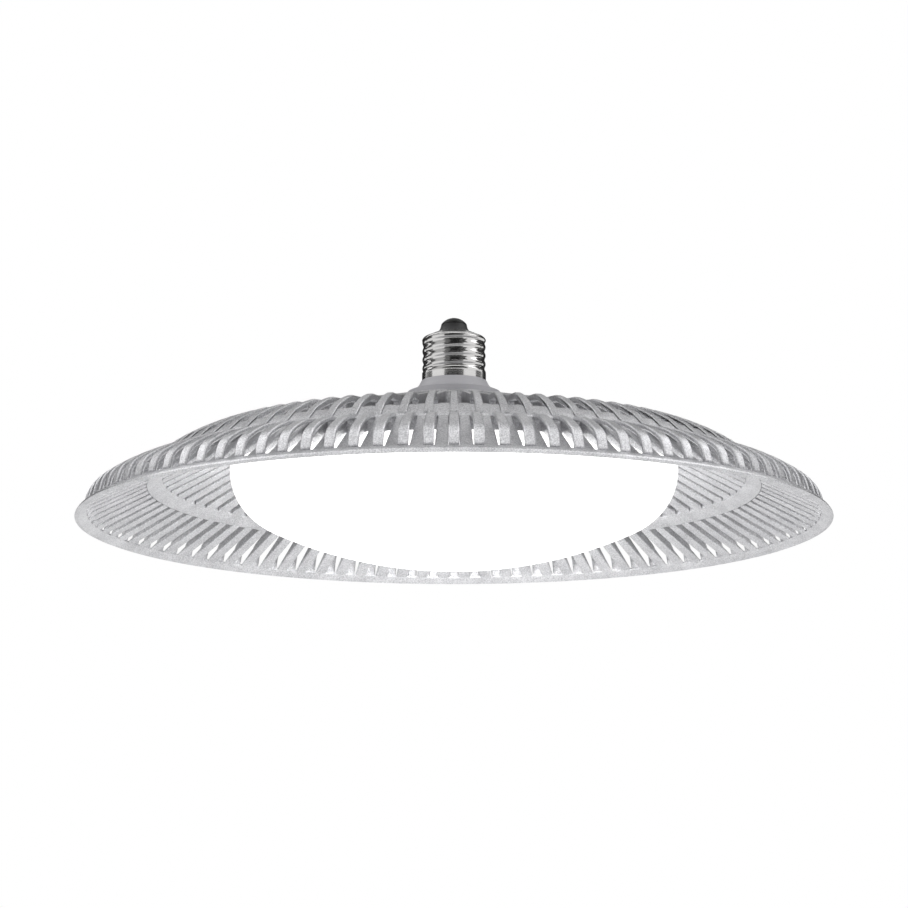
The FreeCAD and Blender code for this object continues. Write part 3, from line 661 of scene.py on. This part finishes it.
dome_outline = dome_line(0.0, 20)
dome_outline += [
    (DOME_RADIUS, DOME_TOP),
    (DOME_RADIUS - LIP_REACH, DOME_TOP),
    (DOME_RADIUS - LIP_REACH, DOME_TOP - WALL),
    (DOME_RADIUS - WALL, DOME_TOP - WALL),
]
dome_outline += list(reversed(dome_line(WALL, 12)))
dome = lathe("opal_dome", dome_outline, opal, DOME_STEPS)

# %% [markdown]
# The collar is satin moulded polycarbonate, a cool pale grey. Moulded satin has no grain to speak of, only
# a fine sparkle from the etched mould. One even grey would look like clay, so the sparkle is drawn as a
# faint noise of half a millimetre.

# %% Satin polycarbonate
ETCH_GRAIN = 0.5
collar_plastic, tree, shader, place = new_material("satin_moulded_polycarbonate")
etch = noise(tree, place, ETCH_GRAIN, 2.0)
feed(tree, shader, {
    "Base Color": two_tone(tree, etch, "#aeadb2", "#bab9bd"),
    "Roughness": spread(tree, etch, 0.38, 0.52),
    "Normal": bump(tree, etch, 0.1, 0.05),
    "IOR": POLYCARBONATE_IOR,
})
print("made", collar_plastic.name)

# %% [markdown]
# The collar flares from the screw cap to the hub. Below, a spigot goes through the hub's seat, and above, a
# plug goes into the cap. All of it is one moulding and one section: a straight lip, a hollow flare as a
# single arc, and a small chamfer at the top.

# %% Flared collar
COLLAR_STEPS = 128
CAP_RADIUS = 13.2
COLLAR_OVER = 0.5
COLLAR_TOP = CAP_RADIUS + COLLAR_OVER
COLLAR_BASE = 19.3
COLLAR_BORE = 9.0
SPIGOT_RADIUS = 10.4
PLUG_RADIUS = 12.3
PLUG_HEIGHT = 4.3
LIP_HEIGHT = 2.5
FLARE_RADIUS = 7.0
WAIST_Z = -1.0
CHAMFER = 0.3
lip = (COLLAR_BASE, SEAT_Z + LIP_HEIGHT)
waist = (COLLAR_TOP + CHAMFER, WAIST_Z)
neck = [
    (COLLAR_BORE, SEAT_Z - SEAT_WALL),
    (SPIGOT_RADIUS, SEAT_Z - SEAT_WALL),
    (SPIGOT_RADIUS, SEAT_Z),
    (COLLAR_BASE, SEAT_Z),
    lip,
]
neck += arc(lip, waist, FLARE_RADIUS, "right", 8)
neck += [
    (COLLAR_TOP, -CHAMFER),
    (COLLAR_TOP - CHAMFER, 0.0),
    (PLUG_RADIUS, 0.0),
    (PLUG_RADIUS, PLUG_HEIGHT),
    (COLLAR_BORE, PLUG_HEIGHT),
]
collar = lathe("flared_collar", neck, collar_plastic, COLLAR_STEPS)

# %% [markdown]
# The screw shell is pressed from thin brass or steel and nickel plated. Nickel is a warm mirror, dulled a
# little by rings of fine wear from being screwed in. Wear could be drawn line by line, but noise that is
# stretched to 30 mm around and squeezed to 0.35 mm in height falls into such rings by itself.

# %% Nickel plating
WEAR_LENGTH = 30
WEAR_HEIGHT = 0.35
nickel, tree, shader, place = new_material("nickel_plated_steel")
squeeze = (per_metre(WEAR_LENGTH), per_metre(WEAR_LENGTH), per_metre(WEAR_HEIGHT))
rings = add(tree, "ShaderNodeMapping", {"Vector": place, "Scale": squeeze})
wear = add(tree, "ShaderNodeTexNoise", {"Vector": rings.outputs[0], "Scale": 1.0, "Detail": 4.0})
wear = wear.outputs["Fac"]
feed(tree, shader, {
    "Base Color": two_tone(tree, wear, "#c8c7c6", "#e0dfde"),
    "Roughness": spread(tree, wear, 0.08, 0.22),
    "Metallic": 1.0,
})
print("made", nickel.name)

# %% [markdown]
# The shell's thread is rolled between two dies, so the crests and the roots are equally round. That makes
# it a simple surface: the radius at any angle and height is a middle value plus a wave that climbs one
# pitch per turn. The wave fades out into the plain skirt below and the shoulder above. A swept profile
# would need trimming at both ends, and this needs none.

# %% The rolled thread
SKIRT = 4.5
THREAD_TOP = 17.4
PITCH = 3.63
WAVE = 0.24
CREST_IN = 0.1
FADE = 1.2
thread_middle = CAP_RADIUS - CREST_IN - WAVE


def shell_radius(angle, z):
    """The rolled thread: a wave that climbs one pitch per turn, faded into skirt and shoulder."""
    enter = min(max((z - SKIRT + FADE) / FADE, 0.0), 1.0)
    leave = min(max((THREAD_TOP - z) / FADE, 0.0), 1.0)
    wave = WAVE * math.cos(angle - 2 * math.pi * z / PITCH)
    rolled = min(enter, leave)
    return CAP_RADIUS * (1 - rolled) + (thread_middle + wave) * rolled


print("crests reach", round(thread_middle + WAVE, 2), "mm, roots", round(thread_middle - WAVE, 2), "mm")

# %% [markdown]
# The shell itself is a stack of rings. Rings of the skirt and the thread take their radius from the wave,
# close enough together to draw it. Those of the shoulder, which bends in to the tip, and of the bore are
# plain circles. One stack of rings from the skirt's edge up, over and back down makes it a closed solid.

# %% Nickel-plated shell
SHELL_STEPS = 96
SHELL_SHARP_DEGREES = 50
SHELL_TOP = 21.0
SKIRT_HEIGHTS = [0.0, 0.3, 1.0, 2.5]
ROW_HEIGHT = 0.3
BEND_IN = 1.5
BEND_RISE = 1.4
BEND_RADIUS = 2.2
CONE = [(9.2, 19.9), (6.95, 20.9)]
MOUTH_RADIUS = 6.7
THREAD_BORE = 12.0
SKIRT_BORE = 12.4
TIP_HOLE = 5.9
TIP_WALL = 0.8
thread_foot = SKIRT - FADE
rows = round((THREAD_TOP - thread_foot) / ROW_HEIGHT)
heights = SKIRT_HEIGHTS + [thread_foot + ROW_HEIGHT * k for k in range(rows)] + [THREAD_TOP]
bend_end = (CAP_RADIUS - BEND_IN, THREAD_TOP + BEND_RISE)
shoulder = arc((CAP_RADIUS, THREAD_TOP), bend_end, BEND_RADIUS, "left", 6)
shoulder += CONE + [(MOUTH_RADIUS, SHELL_TOP)]
inside = [
    (TIP_HOLE, SHELL_TOP),
    (TIP_HOLE, SHELL_TOP - TIP_WALL),
    (THREAD_BORE, THREAD_TOP),
    (THREAD_BORE, SKIRT),
    (SKIRT_BORE, SKIRT),
    (SKIRT_BORE, 0.0),
]
form = bmesh.new()
stack = [[form.verts.new(around(shell_radius(angle, z), angle, z)) for angle in full_circle(SHELL_STEPS)]
         for z in heights]
stack += [ring_at(form, r, z, SHELL_STEPS) for r, z in shoulder + inside]
join_rings(form, stack)
mesh = mesh_from("rolled_shell", form, SHELL_SHARP_DEGREES)
mesh.materials.append(nickel)
shell = new_piece("rolled_shell", mesh)
print("rolled_shell has", len(mesh.polygons), "faces")

# %% [markdown]
# The tip is a dark moulded insulator with a rounded contact on top. The insulator is a phenolic moulding,
# with faint flow marks and a satin skin. In the photo both read as one smooth dark cone, so the contact is
# a dull, dark, scuffed metal. A bright contact would be just as usual, but it wouldn't be this bulb's.

# %% Dark moulding and dull contact metal
FLOW_GRAIN = 0.8
SCUFF_GRAIN = 0.6
phenolic, tree, shader, place = new_material("dark_phenolic_moulding")
flow = noise(tree, place, FLOW_GRAIN, 3.0)
feed(tree, shader, {
    "Base Color": two_tone(tree, flow, "#29292a", "#333334"),
    "Roughness": spread(tree, flow, 0.4, 0.55),
})
tinned, tree, shader, place = new_material("dull_tinned_brass")
scuff = noise(tree, place, SCUFF_GRAIN, 4.0)
feed(tree, shader, {
    "Base Color": two_tone(tree, scuff, "#2e2e2e", "#3a3a3a"),
    "Roughness": spread(tree, scuff, 0.35, 0.55),
    "Metallic": 1.0,
})
print("made", phenolic.name, "and", tinned.name)

# %% [markdown]
# The insulator's side sweeps in from the shell to the contact in one hollow arc. The contact is a low
# button, the cap of a ball, whose radius follows from its width and its rise. Both are turned, as the real
# ones are round too.

# %% Insulator and contact
TIP_STEPS = 96
LEAD_HOLE = 0.9
INSULATOR_FOOT = 6.6
INSULATOR_NECK = 5.35
SWEEP_RADIUS = 5.0
CONTACT_Z = 23.9
CONTACT_RADIUS = 5.2
CONTACT_SIDE = 0.4
CONTACT_RISE = 2.6
sweep_start = (INSULATOR_FOOT, SHELL_TOP)
insulator_outline = [(LEAD_HOLE, SHELL_TOP), sweep_start]
insulator_outline += arc(sweep_start, (INSULATOR_NECK, CONTACT_Z), SWEEP_RADIUS, "right", 5)
insulator_outline += [(LEAD_HOLE, CONTACT_Z)]
insulator = lathe("tip_insulator", insulator_outline, phenolic, TIP_STEPS)
edge = (CONTACT_RADIUS, CONTACT_Z + CONTACT_SIDE)
pole = (0.0, edge[1] + CONTACT_RISE)
ball = (CONTACT_RADIUS ** 2 + CONTACT_RISE ** 2) / (2 * CONTACT_RISE)
contact_outline = [(0.0, CONTACT_Z), (CONTACT_RADIUS, CONTACT_Z), edge]
contact_outline += arc(edge, pole, ball, "left", 8)[:-1] + [pole]
contact = lathe("tip_contact", contact_outline, tinned, TIP_STEPS)

# %% [markdown]
# Inside, behind the dome and the hub, sit the LED board, its screws and wires, and the driver with its
# components. They keep their CAD solids, because nothing of them shows on the closed bulb, but whoever
# opens the part should find real finishes. Each one is a two-tone mottle with its own grain size and shine.
# One function makes them, since only their numbers differ.

# %% A mottled finish
MOTTLE_LOW = 0.3
MOTTLE_HIGH = 0.7


def mottled(name, dark, light, grain, shine, ior=1.5, metallic=0.0):
    """A finish with a soft two-tone grain of a real size in millimetres, and a range of roughness."""
    material, tree, shader, place = new_material(name)
    grains = noise(tree, place, grain, 3.0)
    feed(tree, shader, {
        "Base Color": two_tone(tree, grains, dark, light, MOTTLE_LOW, MOTTLE_HIGH),
        "Roughness": spread(tree, grains, *shine),
        "Normal": bump(tree, grains, 0.15, 0.1),
        "Metallic": metallic,
    })
    if not metallic:
        feed(tree, shader, {"IOR": ior})
    return material


print("mottle runs from", MOTTLE_LOW, "to", MOTTLE_HIGH, "of the noise")

# %% [markdown]
# The finishes follow what such parts are made of: silicone and nylon around the LEDs, white solder mask on
# their board, zinc on its screws, and laminate, ferrite, epoxy and wire insulation in the driver. The
# colours are the usual ones of the trade, such as green laminate and a blue varistor, and each refracts as
# its own plastic does.

# %% Finishes of the inner parts
SILICONE_IOR = 1.41
MOULDED_IOR = 1.53
SLEEVE_IOR = 1.54
EPOXY_IOR = 1.55
inner_finishes = [
    (mottled("cured_silicone", "#d6d5d0", "#e0dfda", 0.8, (0.45, 0.6), SILICONE_IOR), ["diffuser_gasket"]),
    (mottled("thermal_silicone_pad", "#878d96", "#949aa2", 0.6, (0.6, 0.8), SILICONE_IOR), ["thermal_pad"]),
    (mottled("white_solder_mask", "#ebebe6", "#f4f4ef", 1.5, (0.3, 0.42)), ["led_board"]),
    (mottled("phosphor_silicone", "#e6c247", "#f2d257", 0.3, (0.2, 0.35), SILICONE_IOR), ["led_chips"]),
    (mottled("moulded_nylon", "#e2dfd4", "#ebe8de", 0.5, (0.4, 0.55), MOULDED_IOR), ["led_connector"]),
    (mottled("zinc_plated_steel", "#a5a6a9", "#b9babd", 0.4, (0.25, 0.4), metallic=1.0),
     ["led_board_screws"]),
    (mottled("moulded_white_plastic", "#d9d9d4", "#e2e2dd", 0.6, (0.4, 0.55), MOULDED_IOR),
     ["driver_housing", "driver_cover"]),
    (mottled("glass_epoxy_laminate", "#144d24", "#1b5c2d", 0.5, (0.25, 0.4), EPOXY_IOR), ["driver_board"]),
    (mottled("capacitor_shrink_sleeve", "#0f1219", "#171b24", 0.7, (0.25, 0.4), SLEEVE_IOR),
     ["bulk_capacitor", "output_capacitor"]),
    (mottled("sintered_ferrite", "#222325", "#2e2f31", 0.4, (0.6, 0.8)), ["transformer", "input_choke"]),
    (mottled("potted_film_capacitor", "#b08f22", "#bf9e30", 0.7, (0.3, 0.45)), ["film_capacitor"]),
    (mottled("moulded_epoxy", "#0d0d0e", "#17171a", 0.3, (0.5, 0.65), EPOXY_IOR),
     ["bridge_rectifier", "driver_chip"]),
    (mottled("dipped_blue_epoxy", "#19407f", "#204b8f", 0.6, (0.2, 0.35), EPOXY_IOR), ["varistor"]),
    (mottled("flameproof_coat", "#687c56", "#76895f", 0.5, (0.45, 0.6)), ["fuse_resistor"]),
    (mottled("red_wire_insulation", "#960f0d", "#a31513", 0.8, (0.35, 0.5)), ["live_lead", "positive_lead"]),
    (mottled("black_wire_insulation", "#090909", "#121212", 0.8, (0.35, 0.5)),
     ["neutral_lead", "negative_lead"]),
]
for finish, nodes in inner_finishes:
    for node in nodes:
        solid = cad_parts[node]
        solid.data.materials.clear()
        solid.data.materials.append(finish)
print("inner parts dressed:", sum(len(nodes) for finish, nodes in inner_finishes))

# %% [markdown]
# Each new piece now takes the place of its CAD solid. The bulb has no moving parts, so all pieces ride on
# the one root body.

# %% Tie the pieces to the frame
ties = [
    (outer_ribs, ["outer_ribs"], "cast_aluminium"),
    (outer_bars, ["outer_bars"], "cast_aluminium"),
    (inner_ribs, ["inner_ribs"], "cast_aluminium"),
    (inner_bars, ["inner_bars"], "cast_aluminium"),
    (rim_flange, ["rim_flange"], "cast_aluminium"),
    (mid_ring, ["mid_ring"], "cast_aluminium"),
    (hub_plate, ["heat_sink_core"], "cast_aluminium"),
    (core_fins, ["heat_sink_core"], "cast_aluminium"),
    (dome, ["diffuser_dome"], "opal_diffuser"),
    (collar, ["neck_collar"], "collar_plastic"),
    (shell, ["screw_shell"], "nickel_shell"),
    (insulator, ["cap_insulator"], "black_insulator"),
    (contact, ["centre_contact"], "contact_metal"),
]
for piece, nodes, slot_name in ties:
    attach(piece, "root")
    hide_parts(*nodes)
print("pieces tied:", len(ties))

# %% [markdown]
# The photo is a product shot on plain white. The floor is a wide sheet of pale paper, far enough below the
# hanging bulb that a camera can look up at the dome. A matt sheet can only be as bright as the light on it,
# so where it is looked at most of it is a plain white, and the rest is the lit paper with its soft shadow.

# %% Pale floor
FLOOR_Z = -1.6
FLOOR_HALF = 7.0
FLOOR_WHITE = 0.8
FIBRE_GRAIN = 6
sheet = bpy.data.meshes.new("studio_floor")
corners = [(x * FLOOR_HALF, y * FLOOR_HALF, FLOOR_Z) for x, y in ((-1, -1), (1, -1), (1, 1), (-1, 1))]
sheet.from_pydata(corners, [], [(0, 1, 2, 3)])
floor = new_piece("studio_floor", sheet)
paper, tree, shader, place = new_material("studio_paper")
fibre = noise(tree, place, FIBRE_GRAIN, 3.0)
feed(tree, shader, {"Base Color": two_tone(tree, fibre, "#ececec", "#f3f3f3"), "Roughness": 0.9})


def looked_at(tree):
    """One where the camera, a mirror or a clear piece looks, and zero where light only bounces."""
    ray = add(tree, "ShaderNodeLightPath").outputs
    seen = ray["Is Camera Ray"]
    for kind in ("Is Glossy Ray", "Is Transmission Ray"):
        seen = add(tree, "ShaderNodeMath", {0: seen, 1: ray[kind]}, operation="MAXIMUM").outputs[0]
    return seen


white = add(tree, "ShaderNodeEmission", {"Color": colour("#ffffff")})
part = add(tree, "ShaderNodeMath", {0: looked_at(tree), 1: FLOOR_WHITE}, operation="MULTIPLY")
surface = add(tree, "ShaderNodeMixShader", {0: part.outputs[0], 1: shader.outputs[0], 2: white.outputs[0]})
feed(tree, tree.nodes["Material Output"], {"Surface": surface.outputs[0]})
sheet.materials.append(paper)
print("floor at", FLOOR_Z, "m")

# %% [markdown]
# The room around is white wherever it is looked at, in the metal too, and gives a softer, plainer light to
# everything else, so that a colour renders about as it is written. A picture of a real room would bring its
# own colours and hot spots, and a plain white can be reasoned about.

# %% White room
AMBIENT = 0.75
world = bpy.data.worlds.new("white_studio")
bpy.context.scene.world = world
world.use_nodes = True
tree = world.node_tree
level = spread(tree, looked_at(tree), AMBIENT, 1.0)
feed(tree, tree.nodes["Background"], {"Color": colour("#ffffff"), "Strength": level})
print("ambient light", AMBIENT)

# %% [markdown]
# Bright metal in a white room has no shape, so a photographer hangs grey cards where the metal looks. A
# card here is a sheet that glows in one even grey on its front and is clear from behind, so it shows in the
# metal that it faces and hides nothing from the other side. Only mirror-like reflections see it, and it
# throws no shadow, so the cards shape the metal and take no light away from the matt pieces.

# %% Sheets that show on one side
def grey_paint(tone):
    """A paint that glows in one tone on a sheet's front face and is clear from behind."""
    paint = bpy.data.materials.new("card_paint_" + tone[1:])
    paint.use_nodes = True
    tree = paint.node_tree
    tree.nodes.clear()
    glow = add(tree, "ShaderNodeEmission", {"Color": colour(tone)})
    back = add(tree, "ShaderNodeNewGeometry").outputs["Backfacing"]
    clear = add(tree, "ShaderNodeBsdfTransparent")
    face = add(tree, "ShaderNodeMixShader", {0: back, 1: glow.outputs[0], 2: clear.outputs[0]})
    add(tree, "ShaderNodeOutputMaterial", {"Surface": face.outputs[0]})
    return paint


def hide_from(thing, *rays):
    """Makes a sheet or a lamp invisible to some kinds of rays."""
    for ray in rays:
        setattr(thing, "visible_" + ray, False)


def card(name, corners, tone):
    """A flat card that turns its front to the bulb and that only reflections see."""
    first, second, third = (Vector(corner) for corner in corners[:3])
    if (second - first).cross(third - first).dot(first) > 0:
        corners = corners[::-1]
    mesh = bpy.data.meshes.new(name)
    mesh.from_pydata(corners, [], [(0, 1, 2, 3)])
    mesh.materials.append(grey_paint(tone))
    sheet = new_piece(name, mesh)
    hide_from(sheet, "camera", "diffuse", "transmission", "shadow")


def upright(name, start, end, low, high, tone):
    """A card that stands on the line between two places on the floor plan."""
    card(name, [start + (low,), end + (low,), end + (high,), start + (high,)], tone)


print("a white card would glow at", colour("#ffffff")[0], "of the room's own white")

# %% [markdown]
# Where the cards stand follows from what each face of the dish reflects. The crowns of the ribs look up and
# back, so a pale card stands high behind the bulb, with a dark one under it for the ribs on the far side.
# The bars and the mid ring look straight up, into a grey card overhead. The flanks of the ribs look low to
# the left and the right and, in front, past the camera. Dark cards there give each rib a dark side beside
# its bright edge, and the card behind the camera also draws the dark middle of the screw shell's skirt.

# %% Cards around the dish
BACK_Y = 1.8
BACK_HALF = 0.4
BACK_END = 2.6
BACK_FOOT = -0.1
BACK_SPLIT = 0.8
FRONT_Y = -2.0
FRONT_HALF = 1.4
SIDE_X = 2.0
OVER_Z = 2.5
for side, hand in ((-1, "left"), (1, "right")):
    upright("card_side_" + hand, (side * SIDE_X, -0.15), (side * SIDE_X, 1.4), -0.3, 0.5, "#404040")
    upright("card_behind_" + hand, (side * BACK_HALF, BACK_Y), (side * BACK_END, BACK_Y), BACK_FOOT, 1.7,
            "#303030")
upright("card_front", (-FRONT_HALF, FRONT_Y), (FRONT_HALF, FRONT_Y), -0.65, 0.6, "#404040")
upright("card_back", (-BACK_HALF, BACK_Y), (BACK_HALF, BACK_Y), BACK_SPLIT, 2.4, "#b4b4b4")
upright("card_low", (-BACK_HALF, BACK_Y), (BACK_HALF, BACK_Y), BACK_FOOT, BACK_SPLIT, "#404040")
card("card_over", [(x, y, OVER_Z) for x, y in ((-0.8, 0.2), (0.8, 0.2), (0.8, 1.1), (-0.8, 1.1))], "#6c6c6c")

# %% [markdown]
# The thread is a better mirror than the dish, and its wavy flanks look upwards, where the cards around the
# dish don't reach. So a few flags hang above the dish, in an open ring around the axis. Each covers a range
# of degrees, from the camera's side round to the right. Dark flags draw the dark middle and the dark
# stripes of the thread, and the gaps between them leave the bright ones.

# %% Flags above the dish
FLAG_REACH = 0.12
FLAG_FOOT = 0.042
FLAG_TOP = 0.24
flags = [
    (-109, -86, "#404040"),
    (-86, -42, "#c8c8c8"),
    (-42, -19, "#707070"),
    (-19, 22, "#282828"),
    (22, 50, "#505050"),
    (99, 131, "#404040"),
]
for number, (first, last, tone) in enumerate(flags):
    start, end = ((FLAG_REACH * math.sin(math.radians(turn)), -FLAG_REACH * math.cos(math.radians(turn)))
                  for turn in (first, last))
    upright("flag_%d" % number, start, end, FLAG_FOOT, FLAG_TOP, tone)
print("flags:", len(flags))

# %% [markdown]
# The lit dome is what brightens the slots and the underside of the dish. A skin that glowed that strongly
# would burn out to a flat patch with a ragged edge, so the skin keeps its soft white and rings of small
# area lamps, just outside its rounded side and facing away from it, do the work. Those at the far side are
# stronger, so that the far rim turns nearly white. They light only the matt part of the metal. In
# mirror-like reflections the metal sees the dome's own soft skin.

# %% Light from the dome
LAMP_GLOW = 6.3
LAMPS_AROUND = 24
LAMP_TILTS = (0, 25, 50)
LAMP_GAP = 1.5
LAMP_HEIGHT = 10.5
FAR_EXTRA = 8.2
FAR_POWER = 18
lamp_width = 2 * math.pi * DOME_RADIUS / LAMPS_AROUND
lamp_watts = LAMP_GLOW * math.pi * lamp_width * LAMP_HEIGHT * MM ** 2


def area_lamp(name, place, facing, size, watts):
    """A rectangular lamp that faces along a direction."""
    lamp = bpy.data.lights.new(name, "AREA")
    lamp.shape = "RECTANGLE"
    lamp.size, lamp.size_y = size
    lamp.energy = watts
    holder = new_piece(name, lamp)
    holder.location = place
    holder.rotation_euler = facing.to_track_quat("-Z", "Y").to_euler()
    return holder


for tilt in LAMP_TILTS:
    out = math.cos(math.radians(tilt))
    down = math.sin(math.radians(tilt))
    reach = (side_x + (SIDE_RADIUS + LAMP_GAP) * out) * MM
    z = (EQUATOR_Z - (SIDE_RADIUS + LAMP_GAP) * down) * MM
    for k, turn in enumerate(full_circle(LAMPS_AROUND)):
        ahead = Vector((math.cos(turn), math.sin(turn), 0))
        watts = lamp_watts * (1 + FAR_EXTRA * max(ahead.y, 0) ** FAR_POWER)
        holder = area_lamp("dome_lamp_%d_%d" % (tilt, k), ahead * reach + Vector((0, 0, z)),
                           ahead * out - Vector((0, 0, down)), (lamp_width * MM, LAMP_HEIGHT * MM), watts)
        hide_from(holder, "camera", "glossy", "transmission")
print("dome lamps:", len(LAMP_TILTS) * LAMPS_AROUND, "of", round(lamp_watts, 4), "W and more")

# %% [markdown]
# Two softboxes, above the bulb at its right and its left, light the collar and round off the dish. They are
# area lamps most of a metre wide, so their shadows are soft, and the right one is a little stronger, so the
# two sides of the bulb don't look the same. A third, small one lies low in front and lightens the faces of
# the front straps. It lights only the matt part of the metal, too.

# %% Softboxes
SOFTBOX_SIZE = (0.8, 0.8)
SOFTBOX_SIDE = 1.15
SOFTBOX_BACK = 0.2
SOFTBOX_UP = 1.15
RIGHT_WATTS = 3.0
LEFT_WATTS = 2.6
FRONT_SIZE = (0.4, 0.2)
FRONT_STAND = Vector((0.0, -0.5, -0.25))
FRONT_WATTS = 2.8
BULB_MIDDLE = Vector((0.0, 0.0, -0.04))
for name, side, watts in (("softbox_right", 1, RIGHT_WATTS), ("softbox_left", -1, LEFT_WATTS)):
    stand = Vector((side * SOFTBOX_SIDE, SOFTBOX_BACK, SOFTBOX_UP))
    area_lamp(name, stand, BULB_MIDDLE - stand, SOFTBOX_SIZE, watts)
    print(name, "gives", watts, "W")
front = area_lamp("softbox_front", FRONT_STAND, BULB_MIDDLE - FRONT_STAND, FRONT_SIZE, FRONT_WATTS)
hide_from(front, "camera", "glossy", "transmission")
print("softbox_front gives", FRONT_WATTS, "W")

# %% [markdown]
# The camera stands below the bulb and looks up at it by about ten degrees, from a metre and a half away
# with a long lens. Distance and angle were found by laying the rim's ellipse and the cap on the photo's. It
# aims a little above the rim's centre, which puts the bulb where the photo has it.

# %% Camera
RIM_CENTRE = Vector((0.0, 0.0, RIM_Z * MM))
EYE = Vector((0.0, -1.4769, -0.3223))
AIM_HIGHER = 0.029
SENSOR_WIDTH = 36.0
FOCAL_LENGTH = 145.0
look = (RIM_CENTRE - EYE).normalized()
target = RIM_CENTRE + Vector((1, 0, 0)).cross(look) * AIM_HIGHER
lens = bpy.data.cameras.new("photo_camera")
lens.sensor_width = SENSOR_WIDTH
lens.lens = FOCAL_LENGTH
camera = new_piece("photo_camera", lens)
camera.location = EYE
camera.rotation_euler = (target - EYE).to_track_quat("-Z", "Y").to_euler()
bpy.context.scene.camera = camera
bpy.context.scene.view_settings.view_transform = "Standard"
print("camera looks up by", round(math.degrees(math.asin(look.z)), 1), "degrees")
